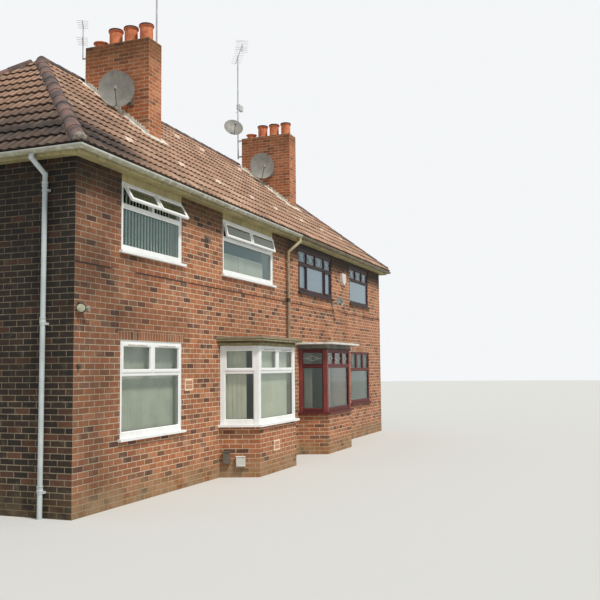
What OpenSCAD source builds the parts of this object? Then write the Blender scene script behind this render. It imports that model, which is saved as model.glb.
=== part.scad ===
// Row of two adjoining brick houses under one hipped roof, seen as one free-standing block.
// Frame: the origin is on the ground under the middle of the block, X runs along the front
// from the left end to the right end, the front faces -Y and Z is up. Lengths are millimetres.
// Inside the modules X, Y and Z are measured from the outer brick corner at front left.

/* [Brickwork] */
// Length of one brick with its joint
brick_l = 228.6; // [215:0.1:240]
// Height of one course with its joint
course_h = 82.5; // [75:0.5:90]
// Frontage of the left house in bricks
left_bricks = 32; // [30:1:36]
// Frontage of the right house in bricks
right_bricks = 33; // [31:1:37]
// Place of the line that the right house's windows are handed about
hand_x = 7345; // [7320:1:7370]
// Depth of the block in bricks
depth_bricks = 28; // [27:1:34]
// Thickness of the cavity walls
wall_t = 270; // [220:5:340]
// Courses from the ground to the line between the storeys
band_courses = 40; // [39:1:41]
// Courses from the ground to the soffit
soffit_courses = 57; // [56:1:60]
// Hidden courses between the soffit and the seat of the rafters
seat_courses = 2; // [1:1:3]

/* [Floors] */
// Thickness of the ground slab
ground_floor_t = 150; // [100:5:200]
// Height of the upper floor's surface
first_floor_z = 2700; // [2600:10:2900]
// Thickness of the upper floor
first_floor_t = 200; // [150:5:240]

/* [Roof] */
// Pitch of all four slopes in degrees
roof_pitch = 39.4; // [36:0.2:42]
// Height of the tiles above the wall's top outer edge
tile_lift = 117.5; // [105:0.5:140]
// Vertical thickness of the slope over the rooms
roof_t = 150; // [142:1:200]
// Vertical thickness of the slope over the eaves
eaves_t = 80; // [70:1:95]
// Overhang of the lowest tiles past the wall face
tile_overhang = 250; // [235:1:270]
// Thickness of the lowest tiles' edge
tile_edge_t = 12; // [10:1:15]
// Distance from the wall face to the fascia's outer face
fascia_out = 190; // [180:1:215]
// Thickness of the fascia board
fascia_t = 20; // [16:1:25]
// Drop of the fascia below the soffit board
fascia_drop = 20; // [10:1:40]
// Thickness of the soffit board
soffit_t = 10; // [8:1:15]
// Radius of the half-round ridge and hip tiles
ridge_r = 118; // [100:1:130]
// Taper of each ridge or hip tile under the next
ridge_taper = 9; // [4:1:14]
// Exposed length of one ridge or hip tile
ridge_tile_l = 440; // [380:5:480]
// Depth of the half-round tiles' centre below the ridge line
ridge_sink = 34; // [20:1:50]

/* [Gutters and pipes] */
// Outer radius of the half-round gutter
gutter_r = 56; // [48:1:60]
// Wall of the gutter
gutter_t = 4; // [3:0.5:6]
// Height of the gutter's rim below the lowest tiles' edge
gutter_gap = 5; // [3:1:12]
// Place of the change from white to brown gutter along the front
gutter_joint_x = 7600; // [7500:10:7750]
// Radius of the downpipes
pipe_r = 34; // [30:1:38]
// Space between a downpipe and the wall
pipe_stand_off = 26; // [18:1:40]
// Place of the downpipe on the left end wall, from the front corner
end_pipe_y = 445; // [400:5:600]
// Place of the downpipe on the front, from the left corner
front_pipe_x = 7320; // [7200:5:7450]
// Width of a pipe bracket
bracket_w = 30; // [20:1:40]

/* [Chimneys] */
// Place of the left stack's left face
left_stack_x = 4200; // [4100:10:4300]
// Place of the right stack's left face
right_stack_x = 11400; // [11300:10:11500]
// Place of the stacks' front face, from the front wall
stack_y = 1503; // [1450:1:1560]
// Width of a stack along the ridge
stack_w = 460; // [430:1:470]
// Length of a stack across the ridge
stack_l = 1430; // [1380:1:1450]
// Height of the left stack's top
left_stack_top = 8180; // [8100:10:8400]
// Height of the right stack's top
right_stack_top = 8280; // [8150:10:8450]
// Spacing of the pots
pot_pitch = 345; // [325:1:350]
// Outer radius of a pot's body
pot_r = 127; // [115:1:135]
// Outer radius of a pot's rolled rim
pot_rim_r = 148; // [138:1:155]
// Height of a pot above the stack
pot_h = 305; // [280:5:380]
// Wall of a pot
pot_t = 20; // [15:1:25]
// Height of the mortar round a pot's foot
flaunch_h = 50; // [30:1:60]
// Height of the stepped lead above the tiles
lead_h = 165; // [140:5:200]
// Thickness of the lead
lead_t = 6; // [4:0.5:8]

/* [Front windows] */
// Left edge of the narrow windows
narrow_x = 1060; // [1000:5:1150]
// Width of the narrow windows
narrow_w = 1750; // [1650:5:1800]
// Left edge of the wide upper window
wide_x = 4290; // [4250:5:4350]
// Width of the wide upper window
wide_w = 2330; // [2200:5:2380]
// Courses from the ground to the upper sills
upper_sill_courses = 43; // [42.5:0.25:44]
// Courses from the ground to the lower sills
lower_sill_courses = 10.75; // [10:0.25:12]
// Courses from the ground to the lower window heads
lower_head_courses = 28; // [27:0.25:28.5]
// Depth of the reveal in front of a frame
reveal = 12; // [5:1:40]
// Depth of a window frame
frame_d = 70; // [60:1:80]
// Face width of a frame member
frame_w = 58; // [52:1:68]
// Thickness of a sill
sill_t = 38; // [28:1:45]
// Reach of a sill past the wall face
sill_out = 55; // [40:1:70]
// Reach of a sill past each side of its opening
sill_ear = 55; // [40:1:70]
// Height of a frame's bottom rail
rail_w = 78; // [58:1:90]
// Height of the painted board over the upper windows
head_board_h = 120; // [90:5:140]
// Height of the upper transoms above the sills
upper_transom = 664; // [620:2:700]
// Height of the lower transoms above the sills
lower_transom = 908; // [880:2:960]
// Thickness of the glazing units
glass_t = 24; // [18:1:28]
// Angle of the narrow window's open vents in degrees
narrow_vent_angle = 31; // [20:1:36]
// Angle of the wide window's open vents in degrees
wide_vent_angle = 12; // [8:1:30]
// Thickness of an open vent's sash
sash_d = 42; // [36:1:50]

/* [Bay windows] */
// Place where the left bay leaves the wall
left_bay_x = 4150; // [4100:5:4200]
// Width of the left bay's front face
left_bay_w = 1760; // [1720:5:1830]
// Depth of the left bay in front of the wall
left_bay_out = 660; // [600:5:700]
// Sideways run of the left bay's slanted faces
left_bay_splay = 240; // [210:5:290]
// Reach of the left bay's felt roof past the bricks
left_felt_out = 110; // [80:1:120]
// Place where the right bay leaves the wall
right_bay_x = 8020; // [7980:5:8080]
// Width of the right bay's front face
right_bay_w = 1700; // [1650:5:1760]
// Depth of the right bay in front of the wall
right_bay_out = 600; // [560:5:640]
// Sideways run of the right bay's slanted faces
right_bay_splay = 220; // [200:5:260]
// Reach of the right bay's felt roof past the bricks
right_felt_out = 190; // [160:1:210]
// Thickness of a bay's brick base
bay_wall_t = 110; // [100:1:130]
// Height of the brick base
bay_base_h = 870; // [840:5:900]
// Thickness of a bay's sill
bay_sill_t = 40; // [30:1:50]
// Reach of a bay's sill past the bricks
bay_sill_out = 60; // [45:1:75]
// Height of a bay's frame top
bay_head = 2290; // [2250:5:2350]
// Height of the cream board under a bay's roof
bay_board_h = 120; // [90:1:140]
// Thickness of a bay's felt roof
bay_felt_t = 30; // [25:1:50]
// Height of the left bay's transom above its sill
left_bay_transom = 925; // [880:5:960]
// Height of the right bay's transom above its sill
right_bay_transom = 1020; // [980:5:1050]

/* [Back] */
// Place of the back doors from the party line
back_door_off = 1150; // [1000:10:1300]
// Width of a back door's opening
door_w = 930; // [860:5:980]
// Height of a back door's head in courses
door_head_courses = 26; // [25.5:0.25:27]
// Thickness of a back door's leaf
door_t = 44; // [38:1:50]

/* [Roof and wall fittings] */
// Half width of the chimney dishes
dish_r = 333; // [310:1:345]
// Depth of a chimney dish
dish_depth = 55; // [45:1:65]
// Thickness of a dish
dish_t = 6; // [4:0.5:8]
// Radius of the masts
mast_r = 19; // [15:1:25]
// Space between the middle of a chimney dish and its stack
dish_off = 250; // [240:5:280]
// Turn of the left chimney dish towards the front in degrees
left_dish_turn = 29; // [15:1:36]
// Turn of the right chimney dish towards the front in degrees
right_dish_turn = 36; // [25:1:38]
// Height of the left mast's top
left_mast_top = 9600; // [9400:10:9900]
// Height of the right mast's top
right_mast_top = 10740; // [10600:10:10900]
// Half width of the small dish on the wall
wall_dish_r = 110; // [95:1:125]
// Space between the right house's wide window and the alarm box
alarm_off = 650; // [600:10:750]
// Height of the alarm box's foot
alarm_z = 4010; // [3900:10:4100]
// Width of the alarm box
alarm_w = 290; // [250:5:310]
// Height of the alarm box
alarm_h = 300; // [260:5:330]
// Depth of the alarm box
alarm_d = 85; // [70:1:95]
// Height of the lamp by the front left corner
corner_lamp_z = 2620; // [2500:10:2750]
// Space between the small upper lamp and the wide window
upper_lamp_off = 690; // [600:10:800]
// Height of the small upper lamp
upper_lamp_z = 4060; // [3950:10:4200]
// Width of the narrow meter box
narrow_meter_w = 130; // [110:5:140]
// Width of the wide meter box
wide_meter_w = 160; // [150:5:170]

/* [Hidden] */
$fn = 40;

row_l = (left_bricks + right_bricks) * brick_l;
row_d = depth_bricks * brick_l;
party_x = left_bricks * brick_l;
mid_d = row_d / 2;
band_z = band_courses * course_h;
soffit_z = soffit_courses * course_h;
wall_top = soffit_z + seat_courses * course_h;
slope = tan(roof_pitch);
ridge_z = wall_top + tile_lift + slope * mid_d;
rafter_seat = (roof_t - tile_lift) / slope;
gutter_z = wall_top + tile_lift - slope * tile_overhang - tile_edge_t - gutter_gap;
gutter_u = -fascia_out - gutter_r;
upper_sill_z = upper_sill_courses * course_h;
lower_sill_z = lower_sill_courses * course_h;
lower_head_z = lower_head_courses * course_h;
upper_h = soffit_z - head_board_h - upper_sill_z - sill_t;
lower_h = lower_head_z - lower_sill_z - sill_t;
bay_h = bay_head - bay_base_h - bay_sill_t;
// Each bay as [place, front width, depth, run of the slanted faces, transom height]
left_bay = [left_bay_x, left_bay_w, left_bay_out, left_bay_splay, left_bay_transom];
right_bay = [right_bay_x, right_bay_w, right_bay_out, right_bay_splay, right_bay_transom];
bays = [left_bay, right_bay];
pipe_off = pipe_r + pipe_stand_off;
door_head_z = door_head_courses * course_h;
back_door_x = party_x - back_door_off - door_w;
// The pots stand evenly along the middle of a stack
pot_first = (stack_l - 3 * pot_pitch) / 2;
// Where the right house's wide window ends
wide_end = 2 * hand_x - wide_x;
// Each stack as [left face, top]
stacks = [[left_stack_x, left_stack_top], [right_stack_x, right_stack_top]];
left_mast = [left_stack_x + stack_w + 50, stack_y + 140];
right_mast = [right_stack_x + 120, stack_y + stack_l + 170];
eps = 1;
far = 1200;

// Height of the tiles' top face at a distance u in from the wall face
function tile_z(u) = wall_top + tile_lift + slope * u;

// Everything below is drawn from the front left corner and moved to the block's middle here
module placed() translate([-row_l / 2, -row_d / 2, 0]) children();

// Runs of an eaves or roof section, drawn as (distance in, height), cut to mitres at the corners
module front_run()
    intersection() {
        translate([-far, 0, 0]) rotate([90, 0, 90]) linear_extrude(row_l + 2 * far) children();
        linear_extrude(ridge_z + far)
            polygon([[-far, -far], [row_l + far, -far], [row_l - mid_d, mid_d], [mid_d, mid_d]]);
    }
module left_run()
    intersection() {
        translate([0, row_d + far, 0]) rotate([90, 0, 0]) linear_extrude(row_d + 2 * far) children();
        linear_extrude(ridge_z + far)
            polygon([[-far, -far], [mid_d, mid_d], [-far, row_d + far]]);
    }
module back_run() translate([0, row_d, 0]) mirror([0, 1, 0]) front_run() children();
module right_run() translate([row_l, 0, 0]) mirror([1, 0, 0]) left_run() children();
module all_runs() {
    front_run() children();
    back_run() children();
    left_run() children();
    right_run() children();
}

// The right house's windows are the left one's, handed about a line near the party wall
module handed() translate([2 * hand_x, 0, 0]) mirror([1, 0, 0]) children();
// The back repeats the front's wall, turned round
module turned() translate([row_l, row_d, 0]) rotate([0, 0, 180]) children();

// Floors
module ground_floor() color("gray")
    placed() {
        translate([wall_t, wall_t, 0]) cube([row_l - 2 * wall_t, row_d - 2 * wall_t, ground_floor_t]);
        for (b = bays) {
            translate([b[0] + bay_wall_t, 0, 0])
                cube([b[1] + 2 * b[3] - 2 * bay_wall_t, wall_t, ground_floor_t]);
            linear_extrude(ground_floor_t) bay_plan(b, -bay_wall_t);
        }
    }
module first_floor() color("burlywood")
    placed() translate([wall_t, wall_t, first_floor_z - first_floor_t])
        cube([row_l - 2 * wall_t, row_d - 2 * wall_t, first_floor_t]);

// A hole through the front wall
module wall_hole(x, z, w, h) translate([x, -eps, z]) cube([w, wall_t + 2 * eps, h]);

module lower_wall_holes() {
    wall_hole(narrow_x, lower_sill_z, narrow_w, lower_head_z - lower_sill_z);
}
// The floor runs out through the wall into a bay, under a lintel level with the window's
module bay_hole(b) wall_hole(b[0] + bay_wall_t, -eps, b[1] + 2 * b[3] - 2 * bay_wall_t, lower_head_z + eps);
module upper_wall_holes() {
    wall_hole(narrow_x, upper_sill_z, narrow_w, soffit_z - upper_sill_z);
    wall_hole(wide_x, upper_sill_z, wide_w, soffit_z - upper_sill_z);
}
module lower_front_wall(x0, x1) difference() {
    translate([x0, 0, 0]) cube([x1 - x0, wall_t, band_z]);
    lower_wall_holes();
    handed() lower_wall_holes();
    for (b = bays) bay_hole(b);
}
module front_wall_lower_left() color("sienna") placed() lower_front_wall(0, party_x);
module front_wall_lower_right() color("sienna") placed() lower_front_wall(party_x, row_l);
module front_wall_upper() color("sienna")
    placed() difference() {
        translate([0, 0, band_z]) cube([row_l, wall_t, wall_top - band_z]);
        upper_wall_holes();
        handed() upper_wall_holes();
    }

// Back wall: a door and a window below, two windows above for each house
module back_lower_holes() {
    wall_hole(narrow_x, lower_sill_z, narrow_w, lower_head_z - lower_sill_z);
    wall_hole(back_door_x, ground_floor_t, door_w, door_head_z - ground_floor_t);
}
module back_upper_holes() {
    wall_hole(narrow_x, upper_sill_z, narrow_w, soffit_z - upper_sill_z);
    wall_hole(back_door_x - narrow_w / 2, upper_sill_z, narrow_w, soffit_z - upper_sill_z);
}
module back_wall_lower() color("sienna")
    placed() turned() difference() {
        cube([row_l, wall_t, band_z]);
        back_lower_holes();
        handed() back_lower_holes();
    }
module back_wall_upper() color("sienna")
    placed() turned() difference() {
        translate([0, 0, band_z]) cube([row_l, wall_t, wall_top - band_z]);
        back_upper_holes();
        handed() back_upper_holes();
    }
module end_wall(x) translate([x, wall_t, 0]) cube([wall_t, row_d - 2 * wall_t, wall_top]);
module left_end_wall() color("saddlebrown") placed() end_wall(0);
module right_end_wall() color("saddlebrown") placed() end_wall(row_l - wall_t);

// Section of a slope: tiles and battens on rafters that sit on the wall and reach to the fascia
module slope_section()
    polygon([
        [-tile_overhang, tile_z(-tile_overhang)],
        [mid_d, tile_z(mid_d)],
        [mid_d, tile_z(mid_d) - roof_t],
        [rafter_seat, wall_top],
        [0, wall_top],
        [0, tile_z(0) - eaves_t],
        [-fascia_out, tile_z(-fascia_out) - eaves_t],
        [-fascia_out, tile_z(-tile_overhang) - tile_edge_t],
        [-tile_overhang, tile_z(-tile_overhang) - tile_edge_t]
    ]);
module roof_slope_front() color("rosybrown") placed() front_run() slope_section();
module roof_slope_back() color("rosybrown") placed() back_run() slope_section();
module roof_hip_left() color("rosybrown") placed() left_run() slope_section();
module roof_hip_right() color("rosybrown") placed() right_run() slope_section();

// The whole space under the tiles, used to seat what stands on them
module under_tiles()
    intersection() {
        translate([-tile_overhang, 0, 0]) rotate([90, 0, 90]) linear_extrude(row_l + 2 * tile_overhang)
            polygon([
                [-tile_overhang, 0], [-tile_overhang, tile_z(-tile_overhang)], [mid_d, ridge_z],
                [row_d + tile_overhang, tile_z(-tile_overhang)], [row_d + tile_overhang, 0]
            ]);
        translate([0, row_d + tile_overhang, 0]) rotate([90, 0, 0]) linear_extrude(row_d + 2 * tile_overhang)
            polygon([
                [-tile_overhang, 0], [-tile_overhang, tile_z(-tile_overhang)],
                [mid_d, ridge_z], [row_l - mid_d, ridge_z],
                [row_l + tile_overhang, tile_z(-tile_overhang)], [row_l + tile_overhang, 0]
            ]);
    }

// A row of half-round tiles along +Z of the given length, each tucked under the next
module half_round_row(length) {
    count = round(length / ridge_tile_l);
    step = length / count;
    for (i = [0 : count - 1]) translate([0, 0, i * step]) cylinder(h = step, r1 = ridge_r, r2 = ridge_r - ridge_taper);
}
module ridge_tiles() color("dimgray")
    placed() difference() {
        translate([mid_d, mid_d, ridge_z - ridge_sink]) rotate([0, 90, 0]) half_round_row(row_l - 2 * mid_d);
        under_tiles();
    }
hip_run = mid_d + tile_overhang;
hip_plan = hip_run * sqrt(2);
hip_l = sqrt(hip_plan * hip_plan + pow(slope * hip_run, 2));
hip_fall = atan2(hip_plan, slope * hip_run);
module hip_row() translate([-tile_overhang, -tile_overhang, tile_z(-tile_overhang) - ridge_sink])
    rotate([0, 0, 45]) rotate([0, hip_fall, 0]) translate([0, 0, ridge_r]) half_round_row(hip_l - 2.3 * ridge_r);
module hip_tiles() color("dimgray")
    placed() difference() {
        union() {
            hip_row();
            translate([row_l, 0, 0]) mirror([1, 0, 0]) hip_row();
            translate([0, row_d, 0]) mirror([0, 1, 0]) hip_row();
            translate([row_l, row_d, 0]) rotate([0, 0, 180]) hip_row();
        }
        under_tiles();
        translate([-far, -far, 0]) cube([row_l + 2 * far, row_d + 2 * far, tile_z(-tile_overhang) - tile_edge_t]);
        for (s = stacks) stack_space(s, lead_t);
    }

// Boxed eaves: flat soffit boards behind an upright fascia
module soffit_boards() color("palegoldenrod") placed() {
    all_runs() translate([-fascia_out + fascia_t, soffit_z - soffit_t])
        square([fascia_out - fascia_t, soffit_t]);
    head_board(narrow_x, narrow_w);
    head_board(wide_x, wide_w);
    turned() {
        back_head_boards();
        handed() back_head_boards();
    }
}
module back_head_boards() {
    head_board(narrow_x, narrow_w);
    head_board(back_door_x - narrow_w / 2, narrow_w);
}
module head_board(x, w)
    translate([x, reveal, soffit_z - head_board_h]) cube([w, frame_d, head_board_h]);
module fascia_boards() color("palegoldenrod")
    placed() all_runs() polygon([
        [-fascia_out, soffit_z - soffit_t - fascia_drop],
        [-fascia_out + fascia_t, soffit_z - soffit_t - fascia_drop],
        [-fascia_out + fascia_t, tile_z(-fascia_out + fascia_t) - eaves_t],
        [-fascia_out, tile_z(-fascia_out) - eaves_t]
    ]);

// Half-round gutters hung on the fascia, white round the left house and brown round the right
module gutter_section()
    translate([gutter_u, gutter_z]) difference() {
        circle(gutter_r);
        circle(gutter_r - gutter_t);
        translate([-gutter_r - eps, 0]) square([2 * gutter_r + 2 * eps, gutter_r + eps]);
    }
module gutter_ring() all_runs() gutter_section();
module white_side() translate([-far, -far, 0]) cube([gutter_joint_x + far, row_d + 2 * far, ridge_z]);
module gutter_white() color("white")
    placed() intersection() {
        gutter_ring();
        white_side();
    }
module gutter_brown() color("saddlebrown")
    placed() difference() {
        gutter_ring();
        white_side();
    }

// A round pipe between two points, with a ball at its end to close the bend
module pipe(a, b, r) {
    d = b - a;
    plan = norm([d[0], d[1]]);
    translate(a) rotate([0, atan2(plan, d[2]), atan2(d[1], d[0])]) cylinder(h = norm(d), r = r);
}
// A downpipe on a wall facing -Y: straight stack at x, swan neck over to the outlet at outlet_x,
// between two heights below the gutter
module downpipe(x, outlet_x, low = 330, high = 90) {
    neck_low = gutter_z - gutter_r - low;
    neck_high = gutter_z - gutter_r - high;
    pipe([x, -pipe_off, 0], [x, -pipe_off, neck_low], pipe_r);
    translate([x, -pipe_off, neck_low]) sphere(pipe_r + 5);
    pipe([x, -pipe_off, neck_low], [outlet_x, gutter_u, neck_high], pipe_r);
    translate([outlet_x, gutter_u, neck_high]) sphere(pipe_r + 5);
    pipe([outlet_x, gutter_u, neck_high], [outlet_x, gutter_u, gutter_z - gutter_r], pipe_r);
    for (z = [320, 2480, neck_low - 230])
        translate([x, -pipe_off, z]) {
            cylinder(h = bracket_w, r = pipe_r + 5);
            translate([-pipe_r - 16, 0, 0]) cube([2 * pipe_r + 32, pipe_off, bracket_w]);
        }
}
module downpipe_white() color("white")
    placed() translate([0, row_d, 0]) rotate([0, 0, -90])
        downpipe(row_d - end_pipe_y, row_d - end_pipe_y - 75, 235, 50);
module downpipes_painted() color("darkkhaki")
    placed() {
        downpipe(front_pipe_x, gutter_joint_x - 55);
        turned() {
            downpipe(row_l - party_x, row_l - party_x + 200);
            downpipe(narrow_x / 2, narrow_x / 2 - 150);
        }
    }

// Chimney stacks: brickwork cut to the slope, with mortar heaped round the pots' feet
module stack_space(s, grow) translate([s[0] - grow, stack_y - grow, tile_z(0)])
    cube([stack_w + 2 * grow, stack_l + 2 * grow, s[1] - tile_z(0)]);
module pot_places(s, first, last) for (i = [first : last])
    translate([s[0] + stack_w / 2, stack_y + pot_first + i * pot_pitch, s[1]]) children();
module stack(s) {
    difference() {
        stack_space(s, 0);
        under_tiles();
    }
    pot_places(s, 0, 3) cylinder(h = flaunch_h, r1 = pot_r + 45, r2 = pot_r);
}
module chimney_left() color("chocolate") placed() stack(stacks[0]);
module chimney_right() color("chocolate") placed() stack(stacks[1]);

// Lead soakers and stepped flashing, turned into every course beside the slope
module lead_steps(x) {
    run = course_h / slope;
    first = floor((stack_y - run) / run);
    last = ceil((stack_y + stack_l + run) / run);
    for (i = [first : last])
        translate([x - far, i * run, 0]) cube([stack_w + 2 * far, run, tile_z(i * run) + lead_h]);
}
module flashing(s)
    difference() {
        intersection() {
            stack_space(s, lead_t);
            lead_steps(s[0]);
        }
        stack_space(s, 0);
        under_tiles();
    }
module chimney_flashings() color("lightgray") placed() for (s = stacks) flashing(s);

// Three roll-top pots and one capped flue on each stack
module pot()
    rotate_extrude() polygon([
        [pot_r - pot_t, 0], [pot_r, 0], [pot_r, pot_h - 62], [pot_rim_r - 6, pot_h - 52],
        [pot_rim_r, pot_h - 40], [pot_rim_r, pot_h - 16], [pot_rim_r - 10, pot_h],
        [pot_r - pot_t, pot_h]
    ]);
module flue_cap()
    rotate_extrude() polygon([
        [0, 0], [pot_r - 12, 0], [pot_r - 12, 60], [pot_r + 22, 74], [pot_r + 22, 92], [30, 128], [0, 128]
    ]);
module chimney_pots() color("coral")
    placed() for (s = stacks) translate([0, 0, flaunch_h]) {
        pot_places(s, 0, 2) pot();
        pot_places(s, 3, 3) flue_cap();
    }

// Lights of a window: a row of panes between two heights, cut at the given shares of the width
function light_row(w, z0, z1, cuts) = [
    for (i = [0 : len(cuts) - 2]) [
        i == 0 ? frame_w : cuts[i] * w + frame_w / 2, z0,
        i == len(cuts) - 2 ? w - frame_w : cuts[i + 1] * w - frame_w / 2, z1
    ]
];
function lights(w, h, transom, low, top) = concat(
    light_row(w, rail_w, transom - frame_w / 2, low),
    light_row(w, transom + frame_w / 2, h - frame_w, top)
);
// A glazed frame in its own plane: x across, y into the wall, z up
module glazed_frame(w, h, transom, low, top)
    difference() {
        cube([w, frame_d, h]);
        for (p = lights(w, h, transom, low, top))
            translate([p[0], -eps, p[1]]) cube([p[2] - p[0], frame_d + 2 * eps, p[3] - p[1]]);
    }
module glass_of(w, h, transom, low, top)
    for (p = lights(w, h, transom, low, top))
        translate([p[0], (frame_d - glass_t) / 2, p[1]]) cube([p[2] - p[0], glass_t, p[3] - p[1]]);
// Sill board through the opening, with a nose past the wall face
module sill(w) {
    translate([0, 0, 0]) cube([w, reveal + frame_d, sill_t]);
    translate([-sill_ear, -sill_out, 0]) cube([w + 2 * sill_ear, sill_out, sill_t]);
}
whole = [0, 1];
halves = [0, 0.5, 1];
thirds = [0, 1 / 3, 2 / 3, 1];
casements = [0, 0.235, 0.755, 1];
quarters = [0, 0.235, 0.5, 0.755, 1];
module window_at(x, z, w, h, transom, low, top) {
    translate([x, 0, z]) sill(w);
    translate([x, reveal, z + sill_t]) glazed_frame(w, h, transom, low, top);
}
module glass_at(x, z, w, h, transom, low, top)
    translate([x, reveal, z + sill_t]) glass_of(w, h, transom, low, top);

module windows_white() color("white") placed() {
    window_at(narrow_x, upper_sill_z, narrow_w, upper_h, upper_transom, whole, halves);
    window_at(wide_x, upper_sill_z, wide_w, upper_h, upper_transom, whole, halves);
    window_at(narrow_x, lower_sill_z, narrow_w, lower_h, lower_transom, whole, halves);
}
module windows_mahogany() color("brown") placed() handed() {
    window_at(narrow_x, upper_sill_z, narrow_w, upper_h, upper_transom, whole, thirds);
    window_at(wide_x, upper_sill_z, wide_w, upper_h, upper_transom, casements, quarters);
    window_at(narrow_x, lower_sill_z, narrow_w, lower_h, lower_transom, whole, thirds);
    head_board(narrow_x, narrow_w);
    head_board(wide_x, wide_w);
}

// Top-hung sashes standing open under the soffit
vent_h = upper_h - upper_transom - frame_w;
module vent(w, angle)
    translate([0, reveal - 0.3, upper_sill_z + sill_t + upper_h - frame_w + 8])
        rotate([-angle, 0, 0]) translate([-12, -sash_d, -vent_h]) difference() {
            cube([w + 24, sash_d, vent_h]);
            translate([46, -eps, 46]) cube([w + 24 - 92, sash_d / 2, vent_h - 92]);
            translate([46, sash_d / 2 + 8, 46]) cube([w + 24 - 92, sash_d, vent_h - 92]);
        }
module vents_of(x, w, angle)
    for (p = light_row(w, 0, vent_h, halves)) translate([x + p[0], 0, 0]) vent(p[2] - p[0], angle);
module open_vents() color("white") placed() {
    vents_of(narrow_x, narrow_w, narrow_vent_angle);
    vents_of(wide_x, wide_w, wide_vent_angle);
}

// Bay windows: canted plan, brick base, glazed front and sides, flat felt roof
// Corners of a bay's plan moved out by a distance, from the wall at the left round to the right
function bay_points(b, grow) = let(
        slant = atan2(b[2], b[3]),
        side = grow / sin(slant)
    ) [
        [b[0] - side, 0],
        [b[0] + b[3] - side + grow / tan(slant), -b[2] - grow],
        [b[0] + b[1] + b[3] + side - grow / tan(slant), -b[2] - grow],
        [b[0] + b[1] + 2 * b[3] + side, 0]
    ];
module bay_plan(b, grow) polygon(bay_points(b, grow));
module bay_base(b) linear_extrude(bay_base_h) difference() {
    bay_plan(b, 0);
    bay_plan(b, -bay_wall_t);
}
module bay_left_base() color("sienna") placed() bay_base(left_bay);
module bay_right_base() color("sienna") placed() bay_base(right_bay);

frame_in = 22;
function bay_face(b, i) = let(p = bay_points(b, -frame_in)) [p[i], p[i + 1]];
function bay_face_l(b, i) = norm(bay_face(b, i)[1] - bay_face(b, i)[0]);
// Places a flat frame on one of the three faces: 0 left, 1 front, 2 right
module on_bay_face(b, i) {
    f = bay_face(b, i);
    d = f[1] - f[0];
    translate([f[0][0], f[0][1], bay_base_h + bay_sill_t]) rotate([0, 0, atan2(d[1], d[0])]) children();
}
function along(p, q, d) = p + d * (q - p) / norm(q - p);
function inward(p, q) = [p[1] - q[1], q[0] - p[0]] / norm(q - p);
// A rail that runs round the bay at a height above its sill
module bay_rail(b, z, h) translate([0, 0, bay_base_h + bay_sill_t + z]) linear_extrude(h) difference() {
    bay_plan(b, -frame_in);
    bay_plan(b, -frame_in - frame_d);
}
// A post at a corner of the plan, with a face on each window that it joins
module bay_post(b, i) {
    q = bay_points(b, -frame_in);
    r = bay_points(b, -frame_in - frame_d);
    before = i == 0 ? [] : let(a = along(q[i], q[i - 1], frame_w)) [a + frame_d * inward(q[i - 1], q[i]), a];
    after = i == 3 ? [] : let(a = along(q[i], q[i + 1], frame_w)) [a, a + frame_d * inward(q[i], q[i + 1])];
    translate([0, 0, bay_base_h + bay_sill_t]) linear_extrude(bay_h)
        polygon(concat(before, [q[i]], after, [r[i]]));
}
module bay_window(b, front_top) {
    bay_rail(b, 0, rail_w);
    bay_rail(b, b[4] - frame_w / 2, frame_w);
    bay_rail(b, bay_h - frame_w, frame_w);
    for (i = [0 : 3]) bay_post(b, i);
    w = bay_face_l(b, 1);
    on_bay_face(b, 1) for (i = [1 : len(front_top) - 2])
        translate([front_top[i] * w - frame_w / 2, 0, b[4]]) cube([frame_w, frame_d, bay_h - b[4]]);
    translate([0, 0, bay_base_h]) linear_extrude(bay_sill_t) difference() {
        bay_plan(b, bay_sill_out);
        bay_plan(b, -bay_wall_t);
    }
}
module bay_glass(b, front_top)
    for (i = [0 : 2]) on_bay_face(b, i)
        glass_of(bay_face_l(b, i), bay_h, b[4], whole, i == 1 ? front_top : whole);
module bay_left_window() color("white") placed() bay_window(left_bay, halves);
module bay_right_window() color("brown") placed() bay_window(right_bay, thirds);
module bay_roof(b, felt_out) {
    translate([0, 0, bay_head]) linear_extrude(bay_board_h) bay_plan(b, 0);
    translate([0, 0, bay_head + bay_board_h]) linear_extrude(bay_felt_t) bay_plan(b, felt_out);
}
module bay_left_roof() color("darkkhaki") placed() bay_roof(left_bay, left_felt_out);
module bay_right_roof() color("lightgray") placed() bay_roof(right_bay, right_felt_out);

// Back windows and doors
module windows_back() color("white") placed() turned() {
    back_windows();
    handed() back_windows();
}
module back_windows() {
    window_at(narrow_x, upper_sill_z, narrow_w, upper_h, upper_transom, whole, halves);
    window_at(back_door_x - narrow_w / 2, upper_sill_z, narrow_w, upper_h, upper_transom, whole, halves);
    window_at(narrow_x, lower_sill_z, narrow_w, lower_h, lower_transom, whole, halves);
}
module back_door()
    translate([back_door_x, reveal, ground_floor_t]) {
        difference() {
            cube([door_w, frame_d, door_head_z - ground_floor_t]);
            translate([frame_w, -eps, -eps])
                cube([door_w - 2 * frame_w, frame_d + 2 * eps, door_head_z - ground_floor_t - frame_w + eps]);
        }
        translate([frame_w, (frame_d - door_t) / 2, 0])
            cube([door_w - 2 * frame_w, door_t, door_head_z - ground_floor_t - frame_w]);
    }
module back_doors() color("white") placed() turned() {
    back_door();
    handed() back_door();
}

// Glazing
module left_upper_glass(wide_low, wide_top, narrow_top) {
    glass_at(narrow_x, upper_sill_z, narrow_w, upper_h, upper_transom, whole, narrow_top);
    glass_at(wide_x, upper_sill_z, wide_w, upper_h, upper_transom, wide_low, wide_top);
}
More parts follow.
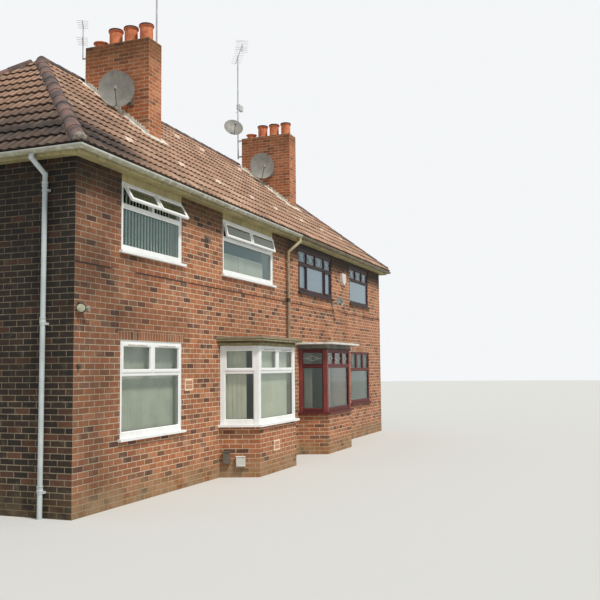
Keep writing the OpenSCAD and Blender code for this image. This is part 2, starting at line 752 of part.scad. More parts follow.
// Behind the open vents the openings stay clear, so only the big panes are drawn there
module big_pane(x, w) translate([x + frame_w, reveal + (frame_d - glass_t) / 2, upper_sill_z + sill_t + rail_w])
    cube([w - 2 * frame_w, glass_t, upper_transom - rail_w - frame_w / 2]);
module glass_upper() color("lightblue") placed() {
    big_pane(narrow_x, narrow_w);
    big_pane(wide_x, wide_w);
    handed() left_upper_glass(casements, quarters, thirds);
}
module glass_lower() color("lightblue") placed() {
    glass_at(narrow_x, lower_sill_z, narrow_w, lower_h, lower_transom, whole, halves);
    handed() glass_at(narrow_x, lower_sill_z, narrow_w, lower_h, lower_transom, whole, thirds);
    bay_glass(left_bay, halves);
    bay_glass(right_bay, thirds);
}
module glass_back() color("lightblue") placed() turned() {
    back_glass();
    handed() back_glass();
}
module back_glass() {
    glass_at(narrow_x, upper_sill_z, narrow_w, upper_h, upper_transom, whole, halves);
    glass_at(back_door_x - narrow_w / 2, upper_sill_z, narrow_w, upper_h, upper_transom, whole, halves);
    glass_at(narrow_x, lower_sill_z, narrow_w, lower_h, lower_transom, whole, halves);
}

// Dishes: a shallow bowl cut to an upright oval, a boss behind it and its feed in front
module bowl(rx, ry, depth) {
    rings = 8;
    rim = ry * 1.03;
    intersection() {
        rotate_extrude() polygon(concat(
            [for (i = [0 : rings]) [rim * i / rings, depth * i * i / (rings * rings) + dish_t]],
            [for (i = [rings : -1 : 0]) [rim * i / rings, depth * i * i / (rings * rings)]]
        ));
        linear_extrude(2 * depth) polygon([for (a = [0 : 9 : 351]) [rx * cos(a), ry * sin(a)]]);
    }
    translate([0, 0, -30]) cylinder(h = 31, r = 34);
    pipe([0, -ry * 0.9, depth * 0.8], [0, -ry * 0.3, rx], 10);
    translate([0, -ry * 0.3, rx]) rotate([60, 0, 0]) translate([0, 0, -60]) cylinder(h = 90, r = 26);
}
// Faces -X, turned towards the front and tipped up, on an arm from its boss to the seat
module dish(c, rx, ry, depth, turn, up, seat) {
    translate(c) rotate([0, 0, turn]) rotate([0, up, 0]) rotate([0, -90, 0]) rotate([0, 0, -90])
        bowl(rx, ry, depth);
    pipe(c + 20 * [cos(turn) * cos(up), sin(turn) * cos(up), -sin(up)], seat, 16);
}
module stack_dish(x, y, z, turn) {
    dish([x - dish_off, y, z], dish_r, dish_r * 1.07, dish_depth, turn, 2, [x - 8, y - 160, z - 190]);
    translate([x - 14, y - 220, z - 250]) cube([14, 120, 120]);
}
module mast_dish(z) {
    turn = 38;
    c = [right_mast[0] - 241, right_mast[1] + 32, z];
    way = (c - [right_mast[0], right_mast[1], z]) / norm([241, 32]);
    dish(c, 267, 267, 45, turn, 24, [right_mast[0], right_mast[1], z] + 30 * way);
    translate([right_mast[0], right_mast[1], z - 35]) difference() {
        cylinder(h = 70, r = mast_r + 14);
        translate([0, 0, -eps]) cylinder(h = 70 + 2 * eps, r = mast_r);
    }
}
module satellite_dishes() color("slategray") placed() {
    stack_dish(left_stack_x, 2042, 7143, left_dish_turn);
    stack_dish(right_stack_x, 2221, 7375, right_dish_turn);
    mast_dish(8574);
    wall_dish([wide_end + 40, -190, upper_sill_z - 18]);
}
module wall_dish(c) {
    dish(c, wall_dish_r, wall_dish_r + 5, 20, 50, 15, [c[0] - 50, -12, c[2] - 70]);
    translate([c[0] - 100, -20, c[2] - 120]) cube([100, 20, 100]);
}

// Aerials: masts held off the stacks on brackets, with booms and rods across them
// A boom along X with its middle at the mast, and rods that shorten towards its tip
module yagi(count, near, tip, rod) {
    translate([-near, 0, 0]) rotate([0, 90, 0]) cylinder(h = near + tip, r = 9);
    for (i = [0 : count - 1])
        translate([-near + 15 + i * (near + tip - 30) / (count - 1), -rod / 2 + 4 * i, 0])
            rotate([-90, 0, 0]) cylinder(h = rod - 8 * i, r = 4);
}
module reflector(half) for (side = [-1, 1]) rotate([0, side * 35, 0]) {
    translate([0, 0, side < 0 ? -half : 0]) translate([-6, -9, 0]) cube([12, 18, half]);
    for (k = [0.4, 0.7, 0.98]) translate([0, -170, side * half * k]) rotate([-90, 0, 0]) cylinder(h = 340, r = 4);
}
module mast(place, foot, top) translate([place[0], place[1], foot]) cylinder(h = top - foot, r = mast_r);
module aerial_left() color("white") placed() {
    mast(left_mast, 7250, left_mast_top);
    translate([left_mast[0], left_mast[1], left_mast_top - 60]) rotate([0, 0, 33]) yagi(9, 620, 300, 300);
    for (z = [7500, 7950]) translate([left_stack_x + stack_w, left_mast[1] - 15, z])
        cube([left_mast[0] - left_stack_x - stack_w, 30, 40]);
    rear_aerial();
}
// A small aerial on a short pole behind the left stack
module rear_aerial() {
    y = stack_y + stack_l;
    pole = [left_stack_x + 60, y + 110];
    translate([pole[0], pole[1], 7985]) cylinder(h = 690, r = 12);
    translate([pole[0] - 12, y, 7985]) cube([24, pole[1] - y, 24]);
    for (z = [8300, 8640]) translate([pole[0], pole[1], z]) rotate([0, 0, 33]) yagi(5, 330, 60, 220);
}
module aerial_right() color("white") placed() {
    mast(right_mast, 7750, right_mast_top);
    translate([right_mast[0], right_mast[1], right_mast_top - 50]) rotate([0, 0, 33]) {
        yagi(12, 960, 480, 340);
        translate([-940, 0, 0]) reflector(200);
    }
    for (z = [7790, 8240]) translate([right_mast[0] - 15, stack_y + stack_l, z])
        cube([30, right_mast[1] - stack_y - stack_l, 40]);
    translate([right_mast[0] + 10, right_mast[1] - 45, 9180]) cube([255, 90, 150]);
    pipe([right_mast[0] - 115, right_mast[1], 9060], [right_mast[0] + 60, right_mast[1], 9200], 12);
}

// Small fittings on the front
module alarm_box() color("white")
    placed() translate([wide_end + alarm_off, -alarm_d, alarm_z]) cube([alarm_w, alarm_d, alarm_h]);
module wall_lights() color("black") placed() {
    translate([60, -30, corner_lamp_z + 70]) cube([90, 30, 90]);
    translate([-30, -120, corner_lamp_z]) cube([230, 90, 130]);
    translate([60, -40, corner_lamp_z - 720]) cube([60, 40, 70]);
    translate([wide_x - upper_lamp_off, -70, upper_lamp_z]) cube([110, 70, 110]);
}
module meter_boxes() color("gray") placed() {
    f = bay_points(left_bay, 0);
    d = f[1] - f[0];
    translate(f[0]) rotate([0, 0, atan2(d[1], d[0])]) {
        translate([60, -60, 240]) cube([narrow_meter_w, 60, 210]);
        translate([290, -55, 190]) cube([wide_meter_w, 55, 175]);
    }
}

ground_floor();
first_floor();
front_wall_lower_left();
front_wall_lower_right();
front_wall_upper();
back_wall_lower();
back_wall_upper();
left_end_wall();
right_end_wall();
roof_slope_front();
roof_slope_back();
roof_hip_left();
roof_hip_right();
ridge_tiles();
hip_tiles();
soffit_boards();
fascia_boards();
gutter_white();
gutter_brown();
downpipe_white();
downpipes_painted();
chimney_left();
chimney_right();
chimney_flashings();
chimney_pots();
windows_white();
open_vents();
windows_mahogany();
bay_left_base();
bay_left_window();
bay_left_roof();
bay_right_base();
bay_right_window();
bay_right_roof();
windows_back();
back_doors();
glass_upper();
glass_lower();
glass_back();
satellite_dishes();
aerial_left();
aerial_right();
alarm_box();
wall_lights();
meter_boxes();
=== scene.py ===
import math

import bmesh
import bpy
import numpy as np
from mathutils import Matrix


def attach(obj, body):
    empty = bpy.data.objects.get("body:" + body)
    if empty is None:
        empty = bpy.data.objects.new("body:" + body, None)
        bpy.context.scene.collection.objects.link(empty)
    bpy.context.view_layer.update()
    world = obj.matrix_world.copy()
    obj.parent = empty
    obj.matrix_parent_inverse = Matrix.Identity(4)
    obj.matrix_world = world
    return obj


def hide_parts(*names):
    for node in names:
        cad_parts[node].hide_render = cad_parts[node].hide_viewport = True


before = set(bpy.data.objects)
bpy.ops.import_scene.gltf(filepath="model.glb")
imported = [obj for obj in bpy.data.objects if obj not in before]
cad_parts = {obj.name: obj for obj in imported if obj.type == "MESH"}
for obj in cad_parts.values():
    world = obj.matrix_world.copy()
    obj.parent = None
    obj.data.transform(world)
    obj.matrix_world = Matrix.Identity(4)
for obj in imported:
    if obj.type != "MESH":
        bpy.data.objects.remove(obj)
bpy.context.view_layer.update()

# Brick walls. Machine-made facing bricks in stretcher bond, each course half a brick over the
# last, with pale lime mortar; a row of bricks on end spans the heads of the lower windows. The
# front is orange-red, sooty under the eaves with a painted shadow of them there, darker on its
# upper left with painted tree shade and soot, and splashed at the foot; the ends are much darker,
# partly from dark brick and partly as painted shade.
brick_l, course_h = 0.2286, 0.0825
row_l, row_d = 65 * brick_l, 28 * brick_l
storey_z = 40 * course_h
hand_x = 7.345
lintel_x, lintel_z, upright_w = (1.0, 2.87), (2.311, 2.436), 0.0765
lintel_number, lintel_course = 40.0, 28.0
patch_places, patch_half, patch_inner = ((3.048, 1.636), (5.175, 0.488)), (0.142, 0.097), (0.118, 0.070)
room_x, room_y = 7.170, 3.115


def srgb(r, g, b):
    """A screen colour, 0 to 255, as light: ((c + 0.055) / 1.055) to the power 2.4."""
    return tuple(((v / 255 + 0.055) / 1.055) ** 2.4 for v in (r, g, b)) + (1.0,)


def light_of(colour):
    """A link as it is, and a screen colour as light."""
    return colour if isinstance(colour, Link) else srgb(*colour)


def dimmed(colour, share):
    """A screen colour with each part times a share."""
    return tuple(v * share for v in colour)


class Link:
    """A socket in a material. Sums on it add Math nodes, and node() adds any other node."""

    def __init__(self, socket):
        """Keeps the output that the next node reads."""
        self.socket = socket

    def node(self, kind, values=None, out=0, stops=None, **settings):
        """Adds one node: its settings, then its sockets' values or links; gives back an output."""
        tree = self.socket.id_data
        made = tree.nodes.new("ShaderNode" + kind)
        for name, value in settings.items():
            setattr(made, name, value)
        if stops:
            ramp = made.color_ramp.elements
            while len(ramp) < len(stops):
                ramp.new(0.5)
            for element, (position, colour) in zip(ramp, stops):
                element.position, element.color = position, srgb(*colour)
        for name, value in (values or {}).items():
            if isinstance(value, Link):
                tree.links.new(value.socket, made.inputs[name])
            else:
                made.inputs[name].default_value = value
        return Link(made.outputs[out])

    def sum(self, operation, *others):
        """A Math node: the operation on this value and the others."""
        return self.node("Math", dict(enumerate((self,) + others)), operation=operation)

    # The four sums, one Math node each: this value plus, less, times or over the other.
    def __add__(self, other):
        return self.sum("ADD", other)

    def __sub__(self, other):
        return self.sum("SUBTRACT", other)

    def __mul__(self, other):
        return self.sum("MULTIPLY", other)

    def __truediv__(self, other):
        return self.sum("DIVIDE", other)

    def __rsub__(self, other):
        """A number less this value: -1 times the value, plus the number."""
        return self.sum("MULTIPLY_ADD", -1.0, other)

    __radd__ = __add__

    def size(self):
        """The value without its sign."""
        return self.sum("ABSOLUTE")

    def floor(self):
        """The whole number below."""
        return self.sum("FLOOR")

    def to_edge(self):
        """The distance to the nearest whole number: 0 on it, 0.5 half-way between two."""
        return self.sum("PINGPONG", 0.5)

    def between(self, low, high):
        """0 below low, 1 above high and a smooth step between; falls if high is below low."""
        return self.node("MapRange", {0: self, 1: low, 2: high}, interpolation_type="SMOOTHSTEP")

    def band(self, low, high, soft):
        """1 between two values, with soft edges: a step up at low times a step down at high."""
        return self.between(low - soft, low + soft) * self.between(high + soft, high - soft)

    def pick(self, first, second):
        """The first colour where this is 0, the second where it is 1, and a mix between."""
        return self.node("Mix", {0: self, 6: light_of(first), 7: light_of(second)}, out=2, data_type="RGBA")

    def stain(self, mask, colour):
        """This colour multiplied by another as far as the mask says."""
        values = {0: mask, 6: self, 7: light_of(colour)}
        return self.node("Mix", values, out=2, data_type="RGBA", blend_type="MULTIPLY")

    def parts(self):
        """The x, y and z of a place or direction."""
        split = self.node("SeparateXYZ", {0: self})
        return [Link(output) for output in split.socket.node.outputs]

    def noise(self, scale, detail=3.0, rough=0.55):
        """Cloudy noise from 0 to 1, mostly near 0.5, with 1 / scale metres to a cloud."""
        return self.node("TexNoise", {"Vector": self, "Scale": scale, "Detail": detail, "Roughness": rough})

    def stretched(self, x, y, z):
        """The place with each part times a number, so that noise on it is drawn out where that is small."""
        return self.node("Mapping", {"Vector": self, "Scale": (x, y, z)})

    def chance(self, across, up, more=0.0):
        """A steady random number from 0 to 1 for each whole (across, up)."""
        which = self.node("CombineXYZ", {0: across, 1: up, 2: more})
        return self.node("TexWhiteNoise", {"Vector": which}, noise_dimensions="3D")

    def bump(self, strength, distance):
        """A normal from this height, where 1 stands out by distance."""
        return self.node("Bump", {"Height": self, "Strength": strength, "Distance": distance})


def material(name, **constants):
    """A new material with its shader's constants set; returns it and the place on the object."""
    made = bpy.data.materials.new(name)
    made.use_nodes = True
    shader = made.node_tree.nodes["Principled BSDF"]
    for socket, value in constants.items():
        shader.inputs[socket.replace("_", " ")].default_value = value
    start = made.node_tree.nodes.new("ShaderNodeTexCoord")
    return made, Link(start.outputs["Object"])


def wire(made, **sockets):
    """Links values that vary over the surface to the sockets of a material's shader."""
    shader = made.node_tree.nodes["Principled BSDF"]
    for socket, link in sockets.items():
        made.node_tree.links.new(link.socket, shader.inputs[socket.replace("_", " ")])
    return made


def dress(made, *nodes):
    """Gives a material to CAD nodes."""
    for node in nodes:
        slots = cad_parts[node].data.materials
        slots.clear()
        slots.append(made)


def brickwork(name, bricks, mortar, weather_and_shade, rise=course_h, end=None, bed=0.0060):
    """Stretcher bond: the course is height / rise, the brick is length / brick_l plus half on odd
    courses, and the joint is where the nearer edge of the brick is closer than half a joint. The
    walls (end) also have much darker bricks and mortar on their ends, partly dark brick and partly
    painted shade, bricks on end over the lower windows, two small openings filled with paler bricks
    in a cement rim, dust at the foot and plastered rooms."""
    made, place = material(name)
    x, y, z = place.parts()
    nx, ny, _ = place.node("NewGeometry", out="True Normal").parts()
    run = y * nx - x * ny
    level = z / rise
    course = level.floor()
    number = run / brick_l + course.sum("MODULO", 2.0) * 0.5
    brick = number.floor()
    ends = (number - brick).to_edge() * brick_l
    beds = (level - course).to_edge() * rise
    row_x = x + row_l / 2
    if end:
        to_street = (ny * -1.0).between(0.9, 0.95)
        left, right = lintel_x
        over = row_x.band(left, right, 0.001) + row_x.band(2 * hand_x - right, 2 * hand_x - left, 0.001)
        over = over * z.band(*lintel_z, 0.0005) * to_street
        upright = run / upright_w
        stood = upright.floor()
        ends = ends + over * ((upright - stood).to_edge() * upright_w - ends)
        beds = beds + over * ((z - lintel_z[0]).sum("MINIMUM", lintel_z[1] - z) - beds)
        brick = brick + over * (stood + lintel_number - brick)
        course = course + over * (lintel_course - course)
    fray = place.noise(48.0, 2.0) - 0.5
    edge = ends.sum("MINIMUM", beds) + fray * 0.0050
    face = edge.between(bed - 0.0015, bed + 0.0012)
    chance = place.chance(brick, course, nx * 3.0 + ny * 5.0)
    colour = chance.node("ValToRGB", {0: chance}, stops=bricks)
    lime = place.noise(24.0, 3.0).between(0.3, 0.8)
    joints = lime.pick(dimmed(mortar, 0.86), mortar)
    at_end = 0.0
    if end:
        at_end = nx.size().between(0.85, 0.95) * x.size().between(row_l / 2 - 0.0245, row_l / 2 - 0.0145)
        colour = at_end.pick(colour, chance.node("ValToRGB", {0: chance}, stops=end[0]))
        joints = at_end.pick(joints, lime.pick(dimmed(end[1], 0.80), end[1]))
    speck = place.noise(120.0, 4.0, 0.7)
    colour = colour.stain(speck.between(0.35, 0.75) * 0.7, (182, 166, 150))
    smear = place.noise(7.0, 4.0).between(0.52, 0.75) * 0.22
    colour = smear.pick(colour, joints)
    colour = face.pick(joints, colour)
    if end:
        mend, rim = 0.0, 0.0
        for x_mid, z_mid in patch_places:
            off_x, off_z = (row_x - x_mid).size(), (z - z_mid).size()
            here = off_x.between(patch_half[0], patch_half[0] - 0.003)
            here = here * off_z.between(patch_half[1], patch_half[1] - 0.003) * to_street
            edging = off_x.between(patch_inner[0] - 0.006, patch_inner[0])
            edging = edging.sum("MAXIMUM", off_z.between(patch_inner[1] - 0.006, patch_inner[1]))
            mend = here + mend
            rim = here * edging.sum("MAXIMUM", off_z.between(0.007, 0.004)) + rim
        face = face * (1.0 - mend) + (mend - rim)
        colour = mend.pick(colour, speck.pick((196, 146, 112), (168, 122, 92)))
        colour = rim.pick(colour, (238, 213, 182))
    for mask, tone in weather_and_shade(place, row_x, z, at_end):
        colour = colour.stain(mask, tone)
    if end:
        dust = z.between(0.48, 0.05) * place.noise(3.1, 5.0).between(0.28, 0.62) * (0.62 - at_end * 0.35)
        colour = dust.pick(colour, (164, 138, 106))
        inside = x.size().between(room_x + 0.005, room_x - 0.005)
        inside = inside * y.size().between(room_y + 0.003, room_y - 0.003)
        colour = inside.pick(colour, speck.between(0.2, 0.8).pick((204, 198, 184), (216, 210, 196)))
        face = face.sum("MAXIMUM", inside)
    height = face * 0.6 + speck * 0.12 + place.noise(320.0, 2.0) * 0.06
    return wire(made, Base_Color=colour, Roughness=0.98 - speck * 0.16, Normal=height.bump(1.0, 0.007))


def wall_weather_and_shade(place, row_x, z, at_end):
    """Soot with a painted shadow of the eaves under the soffit, deeper along the right house; soot with
    painted tree shade by the near corner, on the upper left of the front and over the lower left
    window; rain splash and moss at the foot, broad patches, and the darker bed line where the upper
    storey's brickwork starts; on the end wall, darker patches and darker towards the top. Each is a
    mask, a product of soft steps and noise, and the colour that it multiplies in."""
    broad = place.noise(0.9, 4.0)
    front = 1.0 - at_end
    near_corner = row_x.between(2.3, 0.25) * front
    near_house = row_x.between(3.4, 1.2) * z.between(2.2, 2.9) * front
    bed_line = z.band(storey_z - 0.012, storey_z + 0.012, 0.003) * front
    return [
        # Under the soffit: soot with a painted shadow of the eaves, deeper along the right house.
        (z.between(4.08, 4.56) * (front * 0.5 + 0.35) * broad.between(0.1, 0.4), (108, 120, 98)),
        (z.between(4.36, 4.50) * row_x.between(7.0, 7.6) * front * 0.75, (96, 104, 96)),
        # Painted tree shade mixed with soot: by the near corner, and on the upper left of the front.
        (near_corner * (broad.between(0.25, 0.6) * 0.42 + 0.42), (180, 188, 192)),
        (near_house * broad.between(0.3, 0.55) * 0.62, (186, 184, 180)),
        (z.between(0.46, 0.06) * (place.noise(4.0, 4.0).between(0.25, 0.6) * 0.5 + 0.3), (192, 196, 158)),
        # Painted tree shade mixed with soot over the lower left window.
        (z.band(2.33, 2.78, 0.12) * row_x.band(0.8, 3.1, 0.2) * front * 0.75, (206, 204, 200)),
        (broad.between(0.50, 0.72) * 0.42, (186, 172, 152)),
        (place.noise(2.7, 5.0).between(0.55, 0.8) * 0.4, (160, 146, 130)),
        (bed_line * place.noise(1.7, 2.0).between(0.28, 0.42) * 0.95, (58, 46, 40)),
        # On the end wall: darker patches, and darker towards the top.
        (at_end * place.noise(1.3, 5.0).between(0.42, 0.62) * 0.6, (150, 150, 138)),
        (at_end * z.between(1.2, 3.4) * 0.85, (166, 168, 166)),
    ]


front_bricks = [
    (0.0, (94, 64, 49)), (0.09, (118, 78, 57)), (0.22, (156, 100, 68)), (0.48, (180, 115, 76)),
    (0.70, (165, 101, 66)), (0.88, (194, 128, 88)), (1.0, (146, 102, 76)),
]
# The end wall's palette is much darker than the front's: partly dark, sooty brick and partly painted shade.
end_bricks_and_shade = [
    (0.0, (37, 29, 22)), (0.3, (46, 35, 26)), (0.55, (61, 44, 32)), (0.75, (49, 38, 28)),
    (0.9, (84, 56, 40)), (1.0, (108, 70, 49)),
]
front_mortar, end_mortar_and_shade = (234, 208, 176), (170, 154, 127)
wall_brick = brickwork("wall_brick", front_bricks, front_mortar, wall_weather_and_shade, end=(end_bricks_and_shade, end_mortar_and_shade))
dress(wall_brick, "front_wall_lower_left", "front_wall_lower_right", "front_wall_upper", "bay_left_base",
      "bay_right_base", "back_wall_lower", "back_wall_upper", "left_end_wall", "right_end_wall")

# Floors. A power-floated concrete slab that runs out into the bays, and bare softwood boards
# nailed across the joists upstairs, which only show through the windows.
concrete, place = material("floor_concrete", Roughness=0.85)
grey = place.noise(6.0, 6.0, 0.65).between(0.3, 0.7)
wire(concrete, Base_Color=grey.pick((146, 142, 134), (172, 168, 158)),
     Normal=place.noise(90.0, 4.0).bump(0.3, 0.002))
dress(concrete, "ground_floor")
boards, place = material("floor_boards", Roughness=0.6)
across = place.parts()[1] / 0.14
board = across.floor()
gap = (across - board).to_edge().between(0.012, 0.03)
tone = place.node("TexWhiteNoise", {"W": board}, noise_dimensions="1D")
grain = place.stretched(1.5, 22.0, 22.0).noise(4.0, 5.0)
timber = (tone * 0.6 + grain * 0.4).pick((134, 104, 72), (176, 142, 102))
wire(boards, Base_Color=gap.pick((40, 30, 24), timber), Normal=(gap + grain * 0.2).bump(0.5, 0.003))
dress(boards, "first_floor")

# Roof tiles. Pressed clay double-roman tiles, two rolls to a tile, hung on battens with each
# course lapping over the tails of the one below, and cut to the hips. A few paler vent tiles
# with a raised hood are let into two courses of the front slope.
pitch = math.radians(39.4)
eaves_out, eaves_z = 0.25, 4.985
slope_top = (row_d / 2 + eaves_out) / math.cos(pitch)
tiles_up = 13
gauge = slope_top / tiles_up
count_from = 45.0
roll, roll_h = 0.15, 0.020
corner = np.array([-row_l / 2, -row_d / 2, 0.0])


def tile_top(inward):
    """The height of the slope's top at a distance in from the wall's face: eaves_z + tan(pitch) times it."""
    return eaves_z + math.tan(pitch) * inward


def finish_piece(name, points, faces, made, uv=None, smooth=None, merge=False):
    """Puts points and faces into a mesh, turns the faces outwards and lets it ride on the row."""
    mesh = bpy.data.meshes.new(name)
    mesh.from_pydata((points + corner).tolist(), [], faces)
    if uv is not None:
        corners = np.empty(len(mesh.loops), dtype=np.int32)
        mesh.loops.foreach_get("vertex_index", corners)
        layer = mesh.uv_layers.new(name="along_and_up")
        layer.data.foreach_set("uv", uv[corners].astype(np.float32).ravel())
    shape = bmesh.new()
    shape.from_mesh(mesh)
    if merge:
        bmesh.ops.remove_doubles(shape, verts=shape.verts, dist=1e-5)
        bmesh.ops.dissolve_degenerate(shape, edges=shape.edges, dist=1e-5)
    bmesh.ops.recalc_face_normals(shape, faces=shape.faces)
    shape.to_mesh(mesh)
    shape.free()
    if smooth:
        mesh.shade_smooth()
        mesh.set_sharp_from_angle(angle=math.radians(smooth))
    mesh.materials.append(made)
    made_object = bpy.data.objects.new(name, mesh)
    bpy.context.scene.collection.objects.link(made_object)
    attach(made_object, "root")
    return made_object


def tiled_slope(name, start, along, inward, length):
    """Height over the slope = the rolls, 20 mm of (1/2 + 1/2 cos(2 pi u / roll)) to the power
    1.2, plus each course's rise towards its tails; u is held between the two hips. The material
    counts u from 45 m to the left, which keeps it over 0."""
    rng = np.random.default_rng(len(name))
    u = np.arange(-eaves_out, length + eaves_out + roll / 6, roll / 6)
    up_course = np.array([0.0, 0.0, 0.45, 0.94])
    rise = np.array([-0.004, 0.027, 0.017, 0.004])
    s = np.append((np.arange(tiles_up)[:, None] + up_course).ravel(), tiles_up) * gauge
    rise = np.append(np.tile(rise, tiles_up), 0.003)
    rise[0] = -0.013
    of_course = np.append(np.repeat(np.arange(tiles_up), 4), tiles_up - 1)
    sit = rng.normal(0, 0.0016, (tiles_up, len(u) // 12 + 3))
    of_tile = ((u + eaves_out) / (2 * roll)).astype(int)
    lift = rise[:, None] + roll_h * (0.5 + 0.5 * np.cos(2 * np.pi * u / roll)) ** 1.2
    lift = lift + sit[of_course][:, of_tile] * (rise > 0)[:, None]
    d = s * math.cos(pitch) - eaves_out
    kept = (u > d[:, None]) & (u < length - d[:, None])
    held = np.clip(u, d[:, None], length - d[:, None])
    start, along, inward = (np.array(flat + (0.0,)) for flat in (start, along, inward))
    out = inward * -math.sin(pitch) + np.array([0.0, 0.0, math.cos(pitch)])
    points = start + held[..., None] * along + d[:, None, None] * inward
    points[..., 2] += tile_top(d)[:, None]
    points = points + lift[..., None] * out
    ident = np.arange(kept.size).reshape(kept.shape)
    quads = np.stack([ident[:-1, :-1], ident[:-1, 1:], ident[1:, 1:], ident[1:, :-1]], -1)
    quads = quads[kept[:-1, :-1] | kept[:-1, 1:] | kept[1:, 1:] | kept[1:, :-1]]
    used, quads = np.unique(quads, return_inverse=True)
    over_tail = s + np.where(rise > 0.01, 0.004, 0.0)
    on_slope = np.stack(np.broadcast_arrays(held + count_from, over_tail[:, None]), -1)
    made = finish_piece(name, points.reshape(-1, 3)[used], quads.reshape(-1, 4).tolist(), tile_clay,
                        uv=on_slope.reshape(-1, 2)[used], smooth=50, merge=True)
    shell = made.modifiers.new("thickness", "SOLIDIFY")
    shell.thickness, shell.offset = 0.016, -1.0


tile_clay, place = material("tile_clay")
u, s, _ = place.node("TexCoord", out="UV").parts()
course = (s / gauge).floor()
number = u / (2 * roll) + course.sum("MODULO", 2.0) * 0.5
tile = number.floor()
chance = place.chance(tile, course)
clay = chance.node("ValToRGB", {0: chance}, stops=[
    (0.0, (152, 121, 100)), (0.2, (166, 131, 107)), (0.5, (178, 140, 115)), (0.8, (186, 149, 123)),
    (1.0, (200, 168, 142))])
up_tile = s / gauge - course
side = (number - tile).to_edge().between(0.0, 0.03)
groove = (u / roll).to_edge().between(0.20, 0.46)
lichen = place.noise(26.0, 5.0, 0.7)
moss = place.noise(1.1, 4.0)
# Painted shade in the pans between the rolls.
clay = clay.stain(groove * 0.85, (146, 128, 114))
clay = clay.stain((1.0 - side) * 0.8, (110, 92, 82))
# Painted shadow with dirt just under the tails of the course above; the tails' own risers are darker too,
# painted shade with dirt.
clay = clay.stain(up_tile.between(0.84, 0.96) * 0.9, (92, 78, 70))
clay = clay.stain(up_tile.between(0.045, 0.015) * 0.75, (124, 104, 92))
clay = clay.stain(lichen.between(0.46, 0.68) * 0.5, (160, 148, 132))
clay = (place.noise(60.0, 3.0).between(0.64, 0.76) * 0.4).pick(clay, (168, 154, 130))
clay = clay.stain(moss.between(0.5, 0.8) * 0.5, (160, 152, 132))
row_x = place.parts()[0] + row_l / 2
# Painted tree shade mixed with soot: darker towards the near left end, most of all low on the slope there.
clay = clay.stain(row_x.between(5.2, 0.6) * 0.40, (176, 182, 186))
wave = place.noise(1.9, 4.0) * 1.4 - 0.7
clay = clay.stain(row_x.between(1.9, 0.4) * (s + wave).between(2.5, 1.5) * 0.85, (122, 126, 130))
near_hip = row_x.between(2.1, 1.1) * row_x.between(-0.1, 0.3)
soot = s.band(0.12, 0.95, 0.12) * near_hip * place.noise(5.0, 4.0).between(0.3, 0.5)
clay = clay.stain(soot * 0.85, (96, 90, 88))
wire(tile_clay, Base_Color=clay, Roughness=0.78 + lichen * 0.24,
     Normal=(lichen * 0.6 + place.noise(240.0, 3.0) * 0.3).bump(0.6, 0.004))
tiled_slope("tiles_front", (0, 0), (1, 0), (0, 1), row_l)
tiled_slope("tiles_back", (row_l, row_d), (-1, 0), (0, -1), row_l)
tiled_slope("tiles_left", (0, row_d), (0, -1), (1, 0), row_d)
tiled_slope("tiles_right", (row_l, 0), (0, 1), (-1, 0), row_d)
dress(tile_clay, "roof_slope_front", "roof_slope_back", "roof_hip_left", "roof_hip_right")


def joined(grids, loop):
    """Numbers the points of each stack of grids (copies, rows, columns) and joins neighbours into
    four-sided faces. The last column meets the first; the ends are capped, or with loop the last
    row meets the first."""
    points, faces, start = [], [], 0
    for grid in grids:
        grid = np.asarray(grid, float)
        grid = grid[None] if grid.ndim == 3 else grid
        copies, rows, columns = grid.shape[:3]
        ident = start + np.arange(copies * rows * columns).reshape(copies, rows, columns)
        below, above = (ident, np.roll(ident, -1, 1)) if loop else (ident[:, :-1], ident[:, 1:])
        quads = np.stack([below, np.roll(below, -1, 2), np.roll(above, -1, 2), above], -1)
        faces += quads.reshape(-1, 4).tolist()
        if not loop:
            faces += ident[:, 0, ::-1].tolist() + ident[:, -1].tolist()
        points.append(grid.reshape(-1, 3))
        start += copies * rows * columns
    return np.concatenate(points), faces


def piece(name, grids, made, slot, loop=False, smooth=None):
    """One piece from a stack of grids or a list of them, with smooth as the sharpest bend shaded round."""
    points, faces = joined(grids if isinstance(grids, list) else [grids], loop)
    return finish_piece(name, points, faces, made, smooth=smooth)


def carry(profile, paths, up, loop=False):
    """A profile (across, out) carried along paths (copies, points, 3): out follows up, across is
    square to it and to the way, and is stretched by 1 / cos(half the bend) to make mitres."""
    paths = np.asarray(paths, float)
    paths = paths[None] if paths.ndim == 2 else paths
    ahead, behind = np.roll(paths, -1, 1) - paths, paths - np.roll(paths, 1, 1)
    if not loop:
        ahead[:, -1], behind[:, 0] = behind[:, -1], ahead[:, 0]
    ahead /= np.linalg.norm(ahead, axis=-1, keepdims=True)
    behind /= np.linalg.norm(behind, axis=-1, keepdims=True)
    way = ahead + behind
    way /= np.linalg.norm(way, axis=-1, keepdims=True)
    up = np.broadcast_to(np.asarray(up, float), way.shape)
    across = np.cross(way, up)
    across /= np.linalg.norm(across, axis=-1, keepdims=True)
    out = np.cross(across, way)
    across = across / (way * ahead).sum(-1, keepdims=True)
    profile = np.asarray(profile, float)
    return paths[:, :, None] + profile[:, :1] * across[:, :, None] + profile[:, 1:] * out[:, :, None]


def on_front_slope(u, s):
    """A point of the front slope, u along the eaves and s up the slope: s cos(pitch) in from their edge."""
    u, s = np.broadcast_arrays(np.asarray(u, float), np.asarray(s, float))
    d = s * math.cos(pitch) - eaves_out
    return np.stack([u, d, tile_top(d)], -1)


def mottled(name, rough, clouds, light, dark, grain, bump):
    """Mineral stuff: two tones mixed by cloudy noise, over the bump of a finer noise."""
    made, place = material(name, Roughness=rough)
    return wire(made, Base_Color=place.noise(*clouds[:2]).between(*clouds[2:]).pick(light, dark),
                Normal=place.noise(*grain).bump(*bump))


